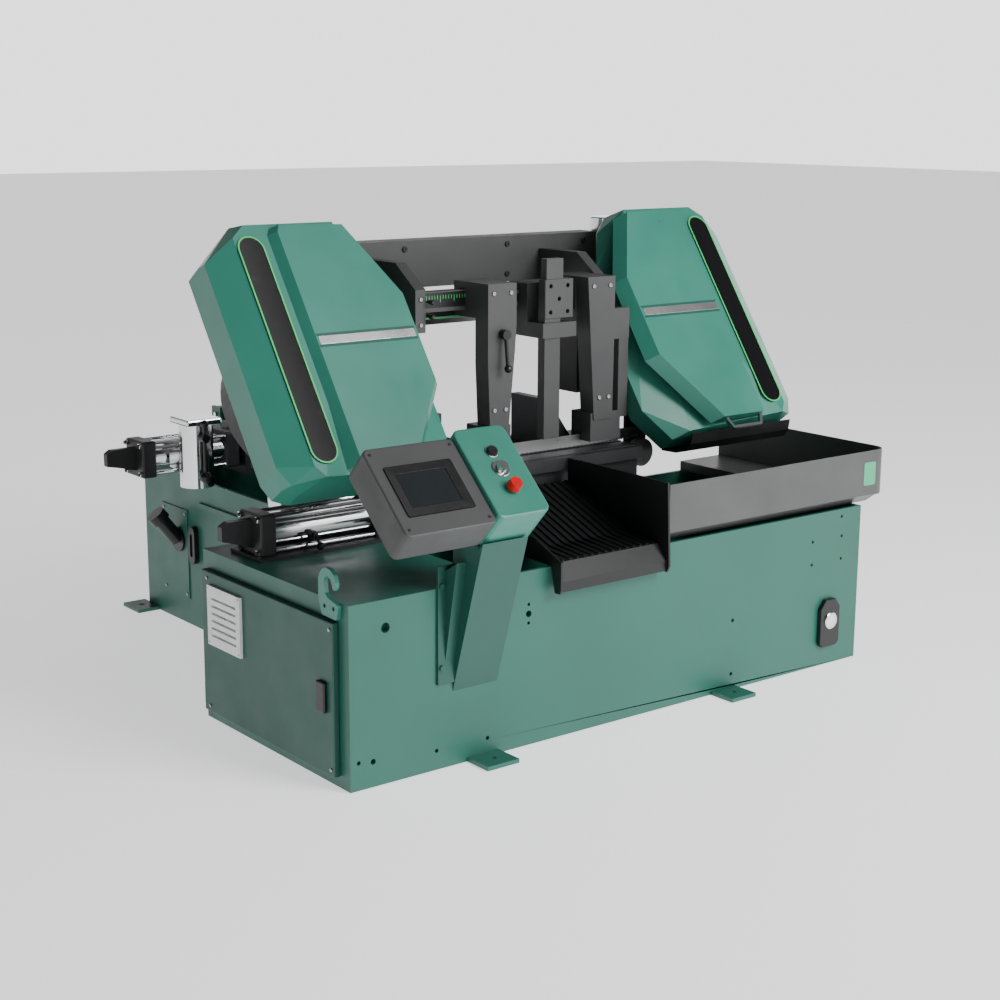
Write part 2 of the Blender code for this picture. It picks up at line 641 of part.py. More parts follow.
def feed_vise_cylinder():
    """Feed vise cylinder hanging on the carriage, clear over the bed wall."""
    body = cylinder_body(-0.786, -0.4285, FEED_Y, FEED_Z, 0.0253)
    lug = prism([(-0.888, 0.600), (-0.888, 0.640), (-0.870, 0.652), (-0.780, 0.652),
                 (-0.780, 0.575), (-0.840, 0.590)], FEED_Y - 0.012, FEED_Y + 0.012, along_y)
    fuse(body, lug)
    return named(body, "feed_vise_cylinder", "black_paint", (0.0, FEED_Y, FEED_Z))


def feed_vise_rod():
    """Piston rod of the feed vise."""
    x = JAW_OPEN_X
    piston = rod((-0.735, FEED_Y, FEED_Z), (x + 0.0175, FEED_Y, FEED_Z), 0.0250, segments=32)
    return named(piston, "feed_vise_rod", "chrome", (x, FEED_Y, FEED_Z))


POST_X, POST_Y = -0.640, 0.900


def clamp_post():
    """Chrome post with a square cap, bolted to the side of the feed cylinder."""
    x, y = POST_X, POST_Y
    post = rod((x, y, 0.532), (x, y, 0.7400), 0.055, segments=40)
    foot = box((x - 0.050, x + 0.050), (y + 0.020, FEED_Y - 0.0603), (0.585, 0.645))
    cap = rounded(box((x - 0.062, x + 0.062), (y - 0.062, y + 0.062), (0.738, 0.758)), 0.005)
    fuse(post, foot, cap)
    carve(post, rod((x - 0.01, y - 0.045, 0.700), (x - 0.01, y - 0.08, 0.700), 0.0083, segments=16))
    return named(post, "clamp_post", "chrome")


def crank_handle():
    """Two-ball lever on the clamp post."""
    x, y, z = POST_X - 0.010, POST_Y, 0.700
    pin = rod((x, y - 0.052, z), (x, y - 0.085, z), 0.008, segments=16)
    hub = rod((x, y - 0.0600, z), (x, y - 0.088, z), 0.014, segments=20)
    bar = rod((x, y - 0.076, z + 0.042), (x, y - 0.076, z - 0.120), 0.006, segments=12)
    top = ball((x, y - 0.076, z + 0.046), 0.013)
    low = ball((x, y - 0.076, z - 0.128), 0.019)
    return named(fuse(pin, hub, bar, top, low), "crank_handle", "black_plastic", (x, y - 0.076, z))


def filler_neck():
    """Angled coolant filler with a screw cap."""
    plug = rod((-REAR_HALF + 0.015, 1.170, 0.290), (-REAR_HALF - 0.010, 1.170, 0.290), 0.020,
               segments=24)
    neck = rod((-REAR_HALF - 0.0100, 1.170, 0.290), (-0.640, 1.177, 0.370), 0.026, segments=28)
    trim = box((-REAR_HALF - 0.0043, -0.500), (1.100, 1.240), (0.220, 0.360))
    carve(neck, trim)
    cap = rod((-0.634, 1.176, 0.363), (-0.654, 1.180, 0.388), 0.033, segments=28)
    plate = rod((-REAR_HALF - 0.0043, 1.170, 0.290), (-REAR_HALF - 0.012, 1.170, 0.290), 0.042,
                segments=28)
    return named(fuse(neck, cap, plate, plug), "filler_neck", "black_plastic")


def level_gauge():
    """Round-ended sight gauge on the bed wall."""
    outline = capsule(1.060, 0.225, 0.355, 0.022)
    body = prism(outline, -REAR_HALF - 0.018, -REAR_HALF - 0.0003, along_x)
    window = prism(capsule(1.060, 0.250, 0.330, 0.009), -REAR_HALF - 0.03, -REAR_HALF - 0.013,
                   along_x)
    return named(carve(body, window), "level_gauge", "black_plastic")


# ---------------------------------------------------------------- lift
SLEEVE = (0.800, 1.000)
BEAM_Y = (0.350, 0.440)
UPRIGHT = ((-0.545, -0.455), (0.500, 0.586))
LIFT_X, LIFT_Y = -0.500, 0.400


def column(name, x):
    """Chrome guide column standing on its shoulder."""
    body = rod((x, COLUMN_Y, SHOULDER_TOP + GAP), (x, COLUMN_Y, COLUMN_TOP), COLUMN_R, segments=56)
    return named(rounded(body, 0.004, 1, 60.0), name, "chrome")


def lift_cylinder():
    """Barrel of the lift cylinder standing in the feed bed."""
    barrel = rod((LIFT_X, LIFT_Y, 0.4005), (LIFT_X, LIFT_Y, 0.740), 0.036, segments=40)
    foot = box((LIFT_X - 0.030, LIFT_X + 0.042), (LIFT_Y - 0.045, LIFT_Y + 0.045),
               (0.4003, 0.416))
    gland = rod((LIFT_X, LIFT_Y, 0.715), (LIFT_X, LIFT_Y, 0.745), 0.041, segments=40)
    fuse(barrel, foot, gland)
    return named(carve(barrel, rod((LIFT_X, LIFT_Y, 0.408), (LIFT_X, LIFT_Y, 0.780), 0.0205,
                                   segments=32)), "lift_cylinder", "black_paint")


def lift_rod():
    """Rod pushing the bow up."""
    body = rod((LIFT_X, LIFT_Y, 0.4215), (LIFT_X, LIFT_Y, SLEEVE[0] - 0.0003), 0.0202, segments=32)
    return named(body, "lift_rod", "chrome", (LIFT_X, LIFT_Y, 0.800))


def behind_tilt(x, s, low, high, name="cut"):
    """Block in bow coordinates."""
    corners = []
    for a in x:
        for b in s:
            for c in (low, high):
                corners.append(tilt_point(a, b, c))
    return hull(corners, name)


def bow_frame():
    """Beam, uprights, column sleeves, casing brackets and the guide rail."""
    beam = box((-0.545, 0.586), BEAM_Y, (1.190, 1.335))
    for x in UPRIGHT:
        fuse(beam, box(x, (BEAM_Y[0], BEAM_Y[1]), (SLEEVE[0], 1.200)))
    for x in COLUMN_X:
        fuse(beam, rod((x, COLUMN_Y, SLEEVE[0]), (x, COLUMN_Y, SLEEVE[1]), 0.085, segments=48))
    for x in COLUMN_X:
        carve(beam, rod((x, COLUMN_Y, 0.700), (x, COLUMN_Y, 1.450), COLUMN_R + 0.0006, segments=56))
    for x in UPRIGHT:
        arm = box(x, (0.160, 0.360), (0.985, 1.120))
        carve(arm, behind_tilt((-0.8, 0.8), (-0.8, 1.4), CASING_BACK - GAP, 0.600))
        fuse(beam, arm)
    for x in ((-0.367, -0.331), (0.331, 0.367)):
        plate = prism([(0.058, 1.092), (0.102, 1.092), (0.200, 1.190), (0.355, 1.190),
                       (0.355, 1.290), (0.160, 1.290), (0.058, 1.218)], x[0], x[1], along_x)
        fuse(beam, plate)
    rail = box((-0.340, 0.340), (0.062, 0.098), (1.150, 1.210))
    fuse(beam, rail, bar_guide())
    return named(beam, "bow_frame", "grey_paint", (0.0, COLUMN_Y, 0.900))


def wheel_centre(side, h=0.0):
    """Centre of one wheel at a height off the blade plane."""
    return tilt_point(side * WHEEL_X, WHEEL_R, h)


BACKPLATE = ((0.392, 0.020), (0.400, 0.250), (0.460, 0.450), (0.520, 0.600), (0.560, 0.640),
             (0.860, 0.640), (0.960, 0.560), (0.960, -0.040), (0.900, -0.085), (0.465, -0.085))


def casing(name, side):
    """Round black wheel casing with its backing sheet and slots for the two strands."""
    body = rod(wheel_centre(side, CASING_BACK), wheel_centre(side, 0.0740), 0.246, segments=56)
    sheet = prism([(side * x, s) for x, s in BACKPLATE], 0.0700, 0.0744, tilt_point)
    fuse(body, sheet)
    room = rod(wheel_centre(side, -0.026), wheel_centre(side, 0.090), 0.238, segments=56)
    shaft = rod(wheel_centre(side, -0.060), wheel_centre(side, 0.0), 0.0225, segments=32)
    carve(body, room, shaft)
    inner = sorted((side * 0.380, side * 0.640))
    for low, high in ((-0.022, 0.026), (0.428, 0.474)):
        carve(body, behind_tilt(inner, (low, high), -0.024, 0.060))
    if side > 0:
        hanger = box((0.437, 0.525), (0.030, 0.042), (0.640, 0.785))
        carve(hanger, rod((BRUSH_X, 0.02, BRUSH_Z), (BRUSH_X, 0.06, BRUSH_Z), 0.0083, segments=16))
        fuse(body, hanger)
    return named(body, name, "black_paint")


def wheel(name, side, mat):
    """Band wheel with rim flange, web holes, hub and shaft."""
    radius = WHEEL_R - BLADE_T / 2 - 0.0008
    body = rod(wheel_centre(side, -0.020), wheel_centre(side, 0.018), radius, segments=56)
    for low, high in ((-0.030, -0.008), (0.006, 0.030)):
        ring = rod(wheel_centre(side, low), wheel_centre(side, high), radius - 0.022, segments=40)
        carve(body, ring)
    fuse(body, rod(wheel_centre(side, -0.0245), wheel_centre(side, 0.030), 0.050, segments=32),
         rod(wheel_centre(side, CASING_BACK), wheel_centre(side, 0.050), 0.022, segments=32))
    middle = wheel_centre(side)
    for i in range(5):
        turn = math.radians(72.0 * i + 18.0)
        offset = Vector((math.cos(turn), 0.0, 0.0)) * 0.125 + TILT_UP * math.sin(turn) * 0.125
        start = middle + offset
        carve(body, rod(start - TILT_OUT * 0.02, start + TILT_OUT * 0.02, 0.034, segments=14))
    return named(body, name, mat, middle)


def gearmotor():
    """Gearbox behind the drive wheel with its motor lying outward."""
    box_corners = []
    for x in (0.635, 0.790):
        for s in (WHEEL_R - 0.066, WHEEL_R + 0.066):
            for h in (-0.138, CASING_BACK - GAP):
                box_corners.append(tilt_point(x, s, h))
    body = hull(box_corners)
    axis = -0.104
    fuse(body, rod(tilt_point(0.780, WHEEL_R, axis), tilt_point(0.955, WHEEL_R, axis), 0.055,
                   segments=40),
         rod(tilt_point(0.780, WHEEL_R, axis), tilt_point(0.800, WHEEL_R, axis), 0.058,
             segments=40))
    return named(body, "gearmotor", "black_paint")


# ---------------------------------------------------------------- covers
COVER_FACE_OUTLINE = ((0.430, 0.143), (0.430, 0.420), (0.547, 0.655), (0.752, 0.662),
                      (0.764, 0.640), (0.764, -0.080), (0.752, -0.092), (0.590, -0.092))
COVER_BACK_OUTLINE = ((0.378, 0.010), (0.378, 0.200), (0.445, 0.540), (0.500, 0.650),
                      (0.560, 0.706), (0.840, 0.706),
                      (0.978, 0.600), (0.978, -0.035), (0.960, -0.080), (0.915, -0.100),
                      (0.452, -0.100))


def cover_ring(grow, back, side_top):
    """Corner points of one cover skin, moved inward by grow."""
    points = []
    cx, cs = 0.68, 0.30
    for x, s in COVER_BACK_OUTLINE:
        x -= grow * (1 if x > cx else -1)
        s -= grow * (1 if s > cs else -1)
        rear = back + 0.033 if s > 0.68 else back
        if x < 0.600 and s > 0.400:
            rear = back + 0.060
        points += [(x, s, rear), (x, s, side_top)]
        if s > 0.68 and x > 0.600:
            points.append((x, 0.655, back))
    return points


def cover_solid(side, grow):
    """Outer or inner volume of a wheel cover."""
    back = COVER_BACK if grow == 0.0 else COVER_BACK - 0.02
    base = cover_ring(grow, back, 0.140)
    outer_edge = [(0.978 - grow, 0.590 - grow, COVER_SIDE - grow),
                  (0.978 - grow, -0.030 + grow, COVER_SIDE - grow),
                  (0.950 - grow, -0.085 + grow, COVER_SIDE - grow),
                  (0.865, 0.700 - grow, COVER_SIDE - grow),
                  (0.895 - grow, 0.640 - grow, 0.2330 - grow),
                  (0.895 - grow, -0.060 + grow, 0.2330 - grow),
                  (0.870 - grow, -0.094 + grow, 0.2330 - grow),
                  (0.500 + grow, -0.094 + grow, 0.180),
                  (0.850, 0.678 - grow, 0.2330 - grow),
                  (0.560, 0.678 - grow, 0.2330 - grow)]
    body = hull([tilt_point(side * x, s, h) for x, s, h in base + outer_edge])
    face = []
    for x, s in COVER_FACE_OUTLINE:
        x -= grow * (1 if x > 0.6 else -1)
        s -= grow * (1 if s > 0.3 else -1)
        face.append((x, s, 0.256 - grow))
        spread = 0.040 if x > 0.6 else -0.030
        face.append((x + spread, s, 0.2150 - grow))
    raised = hull([tilt_point(side * x, s, h) for x, s, h in face])
    return fuse(body, raised)


def cover(name, side):
    """Hollow wheel cover hung from its upper edge."""
    body = cover_solid(side, 0.0)
    carve(body, cover_solid(side, 0.004))
    for x in (0.735, 0.815):
        start, end = (tilt_point(side * (x + d), HINGE_S, HINGE_H) for d in (-0.02, 0.02))
        fuse(body, rod(start, end, 0.0085, segments=16))
    return named(body, name, "green_light", tilt_point(side * 0.68, HINGE_S, HINGE_H))


def tilt_plate(side, outline, low, high, name, mat):
    """Thin plate in bow coordinates with a plain outline."""
    return prism([(side * x, s) for x, s in outline], low, high, tilt_point, name, mat)


def stripe(name, side, mat):
    """Round-ended stripe lying on a cover."""
    middle = (STRIPE_IN + STRIPE_OUT) / 2
    half = (STRIPE_OUT - STRIPE_IN) / 2
    plate = tilt_plate(side, capsule(middle, -0.058, 0.640, half, 11), 0.2334, 0.2370, name, mat)
    return named(plate, name, mat)


def handle(name, side):
    """Bent flat bar for lifting the cover."""
    outline = [(0.600, -0.0950), (0.600, -0.1030), (0.614, -0.1330), (0.740, -0.1330),
               (0.756, -0.1030), (0.756, -0.0950), (0.746, -0.0950), (0.746, -0.1010),
               (0.734, -0.1240), (0.620, -0.1240), (0.610, -0.1010), (0.610, -0.0950)]
    return named(tilt_plate(side, outline, 0.2380, 0.2500, name, "chrome"), name, "chrome")


# ---------------------------------------------------------------- blade and guides
def blade_twist(x):
    """How far the lower strand has turned towards upright at x, 0 to 1."""
    reach = abs(x)
    if reach <= 0.330:
        return 1.0
    if reach >= WHEEL_X - 0.08:
        return 0.0
    part = (WHEEL_X - 0.08 - reach) / (WHEEL_X - 0.08 - 0.330)
    return part * part * (3.0 - 2.0 * part)


def blade_section(x, s, radial, twist):
    """Four corners of the strip: width along the wheel axis, thickness along radial."""
    centre = tilt_point(x, s, 0.0)
    full = math.radians(90.0) - TILT
    turn = Matrix.Rotation(-full * twist, 3, "X")
    wide = turn @ (-TILT_OUT) * (BLADE_W / 2)
    thick = turn @ radial * (BLADE_T / 2)
    return [centre + wide + thick, centre + wide - thick, centre - wide - thick,
            centre - wide + thick]


def saw_blade():
    """Endless strip: over both wheels, with the cutting strand turned upright."""
    sections = []
    for i in range(49):
        x = -WHEEL_X + 2 * WHEEL_X * i / 48
        sections.append(blade_section(x, 0.0, -TILT_UP, blade_twist(x)))
    for i in range(1, 24):
        turn = -math.pi / 2 + math.pi * i / 24
        out = Vector((math.cos(turn), 0, 0)) + TILT_UP * math.sin(turn)
        x, s = WHEEL_X + WHEEL_R * math.cos(turn), WHEEL_R + WHEEL_R * math.sin(turn)
        sections.append(blade_section(x, s, out, 0.0))
    for i in range(5):
        x = WHEEL_X - 2 * WHEEL_X * i / 4
        sections.append(blade_section(x, 2 * WHEEL_R, TILT_UP, 0.0))
    for i in range(1, 24):
        turn = math.pi / 2 + math.pi * i / 24
        out = Vector((math.cos(turn), 0, 0)) + TILT_UP * math.sin(turn)
        x, s = -WHEEL_X + WHEEL_R * math.cos(turn), WHEEL_R + WHEEL_R * math.sin(turn)
        sections.append(blade_section(x, s, out, 0.0))
    bm = bmesh.new()
    rings = [[bm.verts.new(p) for p in section] for section in sections]
    for i, ring in enumerate(rings):
        after = rings[(i + 1) % len(rings)]
        for j, k in ((0, 1), (2, 3)):
            bm.faces.new((ring[j], ring[k], after[k], after[j]))
        bm.faces.new((ring[1], ring[2], after[2]))
        bm.faces.new((ring[1], after[2], after[1]))
        bm.faces.new((ring[3], ring[0], after[3]))
        bm.faces.new((ring[0], after[0], after[3]))
    return named(as_object("saw_blade", bm, "steel"), "saw_blade", "steel")


def guide_arm(name, outline, mouth):
    """Arm hanging from the rail, with a roller block straddling the strand."""
    body = prism(outline, -0.050, 0.012, along_y)
    x0, x1 = mouth
    block = box((x0, x1), (-0.046, 0.046), (0.7225, 0.812))
    fuse(body, block)
    slit = box((x0 - 0.02, x1 + 0.02), (-0.0035, 0.0035), (0.700, 0.7450))
    carve(body, slit)
    top = max(z for x, z in outline)
    xs = [x for x, z in outline if z > top - 0.05]
    hook = box((min(xs), max(xs)), (0.010, 0.1180), (1.1300, top))
    fuse(body, hook)
    carve(body, box((min(xs) - 0.05, max(xs) + 0.05), (0.0615, 0.0985), (1.1495, 1.2105)))
    return body


def guide_arm_left():
    """Sliding guide arm, which is set to the width of the work."""
    outline = [(-0.184, 1.233), (-0.079, 1.233), (-0.078, 1.112), (-0.083, 1.035), (-0.105, 0.803),
               (-0.175, 0.803), (-0.184, 1.000)]
    body = guide_arm("a", outline, (-0.190, -0.095))
    bore = rod((-0.131, -0.06, 1.085), (-0.131, -0.020, 1.085), 0.0083, segments=16)
    carve(body, bore)
    return named(body, "guide_arm_left", "grey_paint", (-0.131, 0.080, 1.180))


def guide_arm_right():
    """Fixed guide arm next to the drive wheel."""
    outline = [(0.199, 1.233), (0.309, 1.233), (0.309, 1.135), (0.306, 0.790), (0.231, 0.790),
               (0.215, 1.000)]
    body = guide_arm("b", outline, (0.221, 0.343))
    bracket = box((0.300, 0.372), (-0.048, -0.020), (1.037, 1.132))
    plate = box((0.332, 0.371), (-0.046, -0.024), (0.790, 1.040))
    foot = box((0.300, 0.371), (-0.046, -0.024), (0.790, 0.812))
    return named(fuse(body, bracket, plate, foot), "guide_arm_right", "grey_paint")


def clamp_lever():
    """Hand lever that locks the left arm on its rail."""
    y = -0.056
    pin = rod((-0.131, y, 1.085), (-0.131, -0.0205, 1.085), 0.008, segments=16)
    hub = rod((-0.131, -0.0505, 1.085), (-0.131, -0.074, 1.085), 0.015, segments=20)
    arm = rod((-0.131, -0.066, 1.085), (-0.131, -0.078, 0.990), 0.006, segments=12)
    knob = ball((-0.131, -0.079, 0.985), 0.012)
    return named(fuse(pin, hub, arm, knob), "clamp_lever", "chrome", (-0.131, -0.060, 1.085))


def height_bar():
    """Sliding feeler post in front of the rail, with its drilled head plate."""
    post = box((0.030, 0.090), (-0.050, -0.018), (0.752, 1.150))
    head = rounded(box((0.028, 0.138), (-0.053, -0.021), (1.117, 1.235)), 0.003)
    top = box((0.036, 0.100), (-0.049, -0.022), (1.230, 1.296))
    fuse(post, head, top)
    for x, z in ((0.050, 1.215), (0.116, 1.215), (0.083, 1.176), (0.050, 1.137), (0.116, 1.137)):
        carve(post, rod((x, -0.07, z), (x, -0.038, z), 0.007, segments=14))
    return named(post, "height_bar", "grey_paint", (0.060, -0.035, 1.150))


def bar_guide():
    """Clamp block on the rail that the feeler post slides in."""
    block = box((0.018, 0.148), (-0.0570, 0.1100), (1.0600, 1.1050))
    riser = box((0.018, 0.148), (0.0200, 0.1100), (1.0900, 1.2200))
    fuse(block, riser)
    return carve(block, box((0.0295, 0.0905), (-0.0505, -0.0175), (1.04, 1.13)))


def scale_bar():
    """Scale under the rail."""
    body = box((-0.3307, 0.3307), (0.1185, 0.1245), (1.1220, 1.1500))
    return named(body, "scale_bar", "steel")


def splash_guard():
    """Curved sheet under the right cover."""
    x0, x1 = 0.480, 0.920
    points = []
    for y, z in ((-0.232, 0.7480), (-0.226, 0.714), (-0.206, 0.6900), (-0.160, 0.6760),
                 (-0.094, 0.6740), (-0.0935, 0.7050)):
        points.append((y, z))
    back = [(-0.0975, 0.7050), (-0.0975, 0.6780), (-0.158, 0.6800), (-0.203, 0.6935),
            (-0.222, 0.7160), (-0.228, 0.7480)]
    return named(prism(points + back, x0, x1, along_x), "splash_guard", "black_paint")


def chip_brush():
    """Round wire brush at the teeth, on a shaft in the hanger of the drive casing."""
    disc = rod((BRUSH_X, -0.032, BRUSH_Z), (BRUSH_X, -0.008, BRUSH_Z), 0.045, segments=40)
    shaft = rod((BRUSH_X, -0.036, BRUSH_Z), (BRUSH_X, 0.050, BRUSH_Z), 0.008, segments=16)
    return named(fuse(disc, shaft), "chip_brush", "bristle", (BRUSH_X, -0.020, BRUSH_Z))


# ---------------------------------------------------------------- assembly
def build():
    """Make every piece."""
    for ob in list(bpy.data.objects):
        bpy.data.objects.remove(ob)
    front_bed()
    rear_bed()
    roller("infeed_roller_front", 0.300)
    roller("infeed_roller_rear", 1.360)
    cabinet_door()
    door_vent()
    door_latch()
    cabinet_backplate()
    lifting_hook()
    hmi_housing()
    touch_screen()
    operator_panel()
    device("start_button", BUTTON_AT, 0.011, 0.016, (0.016, 0.024), "black_plastic")
    device("speed_knob", KNOB_AT, 0.008, 0.017, (0.0123, 0.030), "chrome")
    device("emergency_stop", ESTOP_AT, 0.011, 0.020, (0.022, 0.042), "red_plastic")
    control_pedestal()
    discharge_chute()
    chip_guard()
    work_table()
    vise_fixed_jaw()
    vise_moving_jaw()
    vise_cylinder()
    vise_rod()
    vise_valve_lever()
    feed_rod("feed_rod_left", -0.200)
    feed_rod("feed_rod_right", 0.200)
    feed_carriage()
    feed_moving_jaw()
    feed_vise_cylinder()
    feed_vise_rod()
    clamp_post()
    crank_handle()
    filler_neck()
    level_gauge()
    column("column_left", COLUMN_X[0])
    column("column_right", COLUMN_X[1])
    lift_cylinder()
    lift_rod()
    bow_frame()
    casing("casing_left", -1)
    casing("casing_right", 1)
    wheel("idler_wheel", -1, "cast_iron")
    wheel("drive_wheel", 1, "cast_iron")
    gearmotor()
    cover("cover_left", -1)
    cover("cover_right", 1)
    stripe("stripe_left", -1, "gloss_black")
    stripe("stripe_right", 1, "gloss_black")
    handle("handle_left", -1)
    handle("handle_right", 1)
    saw_blade()
    guide_arm_left()
    guide_arm_right()
    clamp_lever()
    height_bar()
    scale_bar()
    splash_guard()
    chip_brush()


build()
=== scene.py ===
"""Looks of the horizontal band saw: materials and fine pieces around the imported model."""

import math

import bmesh
import bpy
from mathutils import Matrix, Vector


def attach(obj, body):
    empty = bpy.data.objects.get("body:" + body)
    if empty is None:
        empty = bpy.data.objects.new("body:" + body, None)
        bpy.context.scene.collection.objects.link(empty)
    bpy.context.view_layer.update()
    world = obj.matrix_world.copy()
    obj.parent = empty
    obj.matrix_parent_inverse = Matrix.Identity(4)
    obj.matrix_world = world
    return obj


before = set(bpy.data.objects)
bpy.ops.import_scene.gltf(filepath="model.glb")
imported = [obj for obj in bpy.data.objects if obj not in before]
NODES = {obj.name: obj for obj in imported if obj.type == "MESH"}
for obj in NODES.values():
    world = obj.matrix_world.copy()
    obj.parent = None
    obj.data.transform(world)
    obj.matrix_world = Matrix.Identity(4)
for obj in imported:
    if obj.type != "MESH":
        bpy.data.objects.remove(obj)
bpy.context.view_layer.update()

TILT = math.radians(35.0)      # the bow leans back by this much
STRAND_Z = 0.725               # height of the cutting strand's middle
TILT_UP = Vector((0.0, math.sin(TILT), math.cos(TILT)))
TILT_OUT = Vector((0.0, -math.cos(TILT), math.sin(TILT)))
PANEL_LOW = Vector((0.0, -0.688, 0.710))
PANEL_HIGH = Vector((0.0, -0.487, 0.897))
PANEL_UP = (PANEL_HIGH - PANEL_LOW).normalized()
PANEL_OUT = Vector((0.0, -PANEL_UP.z, PANEL_UP.y))


# ---------------------------------------------------------------- camera, lights, floor
def make_camera():
    """Camera at the photograph's viewing angle."""
    azimuth, drop, roll = math.radians(38.0884), math.radians(12.5450), math.radians(0.3153)
    forward = Vector((math.sin(azimuth) * math.cos(drop), math.cos(azimuth) * math.cos(drop),
                      -math.sin(drop)))
    right = Vector((math.cos(azimuth), -math.sin(azimuth), 0.0))
    up = right.cross(forward)
    turned = right * math.cos(roll) + up * math.sin(roll)
    upward = up * math.cos(roll) - right * math.sin(roll)
    data = bpy.data.cameras.new("camera")
    data.sensor_width = 36.0
    data.lens = 63.507
    cam = bpy.data.objects.new("camera", data)
    bpy.context.scene.collection.objects.link(cam)
    rows = Matrix((turned, upward, -forward)).transposed()
    cam.matrix_world = Matrix.Translation((-3.32161, -4.11351, 1.73512)) @ rows.to_4x4()
    bpy.context.scene.camera = cam


def area_light(name, place, aim, size, power, colour=(1.0, 1.0, 1.0)):
    """Soft square lamp aimed at a point."""
    data = bpy.data.lights.new(name, "AREA")
    data.shape = "SQUARE"
    data.size = size
    data.energy = power
    data.color = colour
    lamp = bpy.data.objects.new(name, data)
    lamp.location = place
    lamp.rotation_mode = "QUATERNION"
    lamp.rotation_quaternion = (Vector(place) - Vector(aim)).to_track_quat("Z", "Y")
    bpy.context.scene.collection.objects.link(lamp)


def make_studio():
    """Pale floor, pale surroundings and soft lamps."""
    world = bpy.data.worlds.new("studio")
    world.use_nodes = True
    tree = world.node_tree
    back = tree.nodes["Background"]
    back.inputs["Color"].default_value = (1.0, 1.0, 1.0, 1.0)
    where = tree.nodes.new("ShaderNodeTexCoord")
    split = tree.nodes.new("ShaderNodeSeparateXYZ")
    fall = tree.nodes.new("ShaderNodeMapRange")
    for key, value in (("From Min", 0.07), ("From Max", 0.40), ("To Min", 2.1), ("To Max", 0.16)):
        fall.inputs[key].default_value = value
    tree.links.new(where.outputs["Generated"], split.inputs["Vector"])
    tree.links.new(split.outputs["Z"], fall.inputs["Value"])
    side = tree.nodes.new("ShaderNodeMapRange")
    for key, value in (("From Min", -0.70), ("From Max", 0.20), ("To Min", 0.14), ("To Max", 1.0)):
        side.inputs[key].default_value = value
    both = tree.nodes.new("ShaderNodeMath")
    both.operation = "MULTIPLY"
    tree.links.new(split.outputs["X"], side.inputs["Value"])
    tree.links.new(fall.outputs["Result"], both.inputs[0])
    tree.links.new(side.outputs["Result"], both.inputs[1])
    tree.links.new(both.outputs["Value"], back.inputs["Strength"])
    bpy.context.scene.world = world
    area_light("front", (2.0, -5.4, 4.4), (0, 0, 0.7), 3.0, 400.0)
    area_light("top", (0.8, -2.5, 5.5), (0, 0, 0.7), 2.5, 30.0)
    bm = bmesh.new()
    bmesh.ops.create_grid(bm, x_segments=1, y_segments=1, size=40.0)
    mesh = bpy.data.meshes.new("floor")
    bm.to_mesh(mesh)
    bm.free()
    floor = bpy.data.objects.new("floor", mesh)
    floor.location = (0.0, 0.0, -0.001)
    bpy.context.scene.collection.objects.link(floor)
    mat = bpy.data.materials.new("floor")
    mat.use_nodes = True
    shader = mat.node_tree.nodes["Principled BSDF"]
    shader.inputs["Base Color"].default_value = (0.93, 0.93, 0.93, 1.0)
    shader.inputs["Roughness"].default_value = 0.7
    shader.inputs["Emission Color"].default_value = (1.0, 1.0, 1.0, 1.0)
    shader.inputs["Emission Strength"].default_value = 0.90
    mesh.materials.append(mat)


# ---------------------------------------------------------------- materials
class Look:
    """Small helper that wires nodes around one Principled shader."""

    def __init__(self, name):
        self.mat = bpy.data.materials.new(name)
        self.mat.use_nodes = True
        self.tree = self.mat.node_tree
        self.shader = self.tree.nodes["Principled BSDF"]
        self.where = self.tree.nodes.new("ShaderNodeTexCoord").outputs["Object"]

    def set(self, **values):
        """Plain numbers on the shader's own sockets."""
        for key, value in values.items():
            self.shader.inputs[key.replace("_", " ")].default_value = value
        return self

    def node(self, kind, **settings):
        """A node with its attributes set."""
        made = self.tree.nodes.new(kind)
        for key, value in settings.items():
            setattr(made, key, value)
        return made

    def link(self, start, end):
        """Join two sockets."""
        self.tree.links.new(start, end)

    def noise(self, scale, detail=4.0, stretch=None, rough=0.55):
        """Noise in the row frame, optionally stretched along an axis."""
        made = self.node("ShaderNodeTexNoise")
        made.inputs["Scale"].default_value = scale
        made.inputs["Detail"].default_value = detail
        made.inputs["Roughness"].default_value = rough
        source = self.where
        if stretch:
            mapping = self.node("ShaderNodeMapping")
            mapping.inputs["Scale"].default_value = stretch
            self.link(self.where, mapping.inputs["Vector"])
            source = mapping.outputs["Vector"]
        self.link(source, made.inputs["Vector"])
        return made.outputs["Fac"]

    def ramp(self, fac, stops):
        """Colour ramp from (position, colour) stops."""
        made = self.node("ShaderNodeValToRGB")
        bar = made.color_ramp
        while len(bar.elements) < len(stops):
            bar.elements.new(0.5)
        for element, (spot, colour) in zip(bar.elements, stops):
            element.position = spot
            element.color = (*colour, 1.0)
        self.link(fac, made.inputs["Fac"])
        return made.outputs["Color"]

    def level(self, fac, low, high):
        """Maps 0..1 noise to a range."""
        made = self.node("ShaderNodeMapRange")
        made.inputs["From Min"].default_value = 0.25
        made.inputs["From Max"].default_value = 0.75
        made.inputs["To Min"].default_value = low
        made.inputs["To Max"].default_value = high
        self.link(fac, made.inputs["Value"])
        return made.outputs["Result"]

    def bump(self, height, strength, distance):
        """Bump from a height socket."""
        made = self.node("ShaderNodeBump")
        made.inputs["Strength"].default_value = strength
        made.inputs["Distance"].default_value = distance
        self.link(height, made.inputs["Height"])
        self.link(made.outputs["Normal"], self.shader.inputs["Normal"])


def shade(colour, factor):
    """A colour made lighter or darker."""
    return tuple(min(1.0, c * factor) for c in colour)


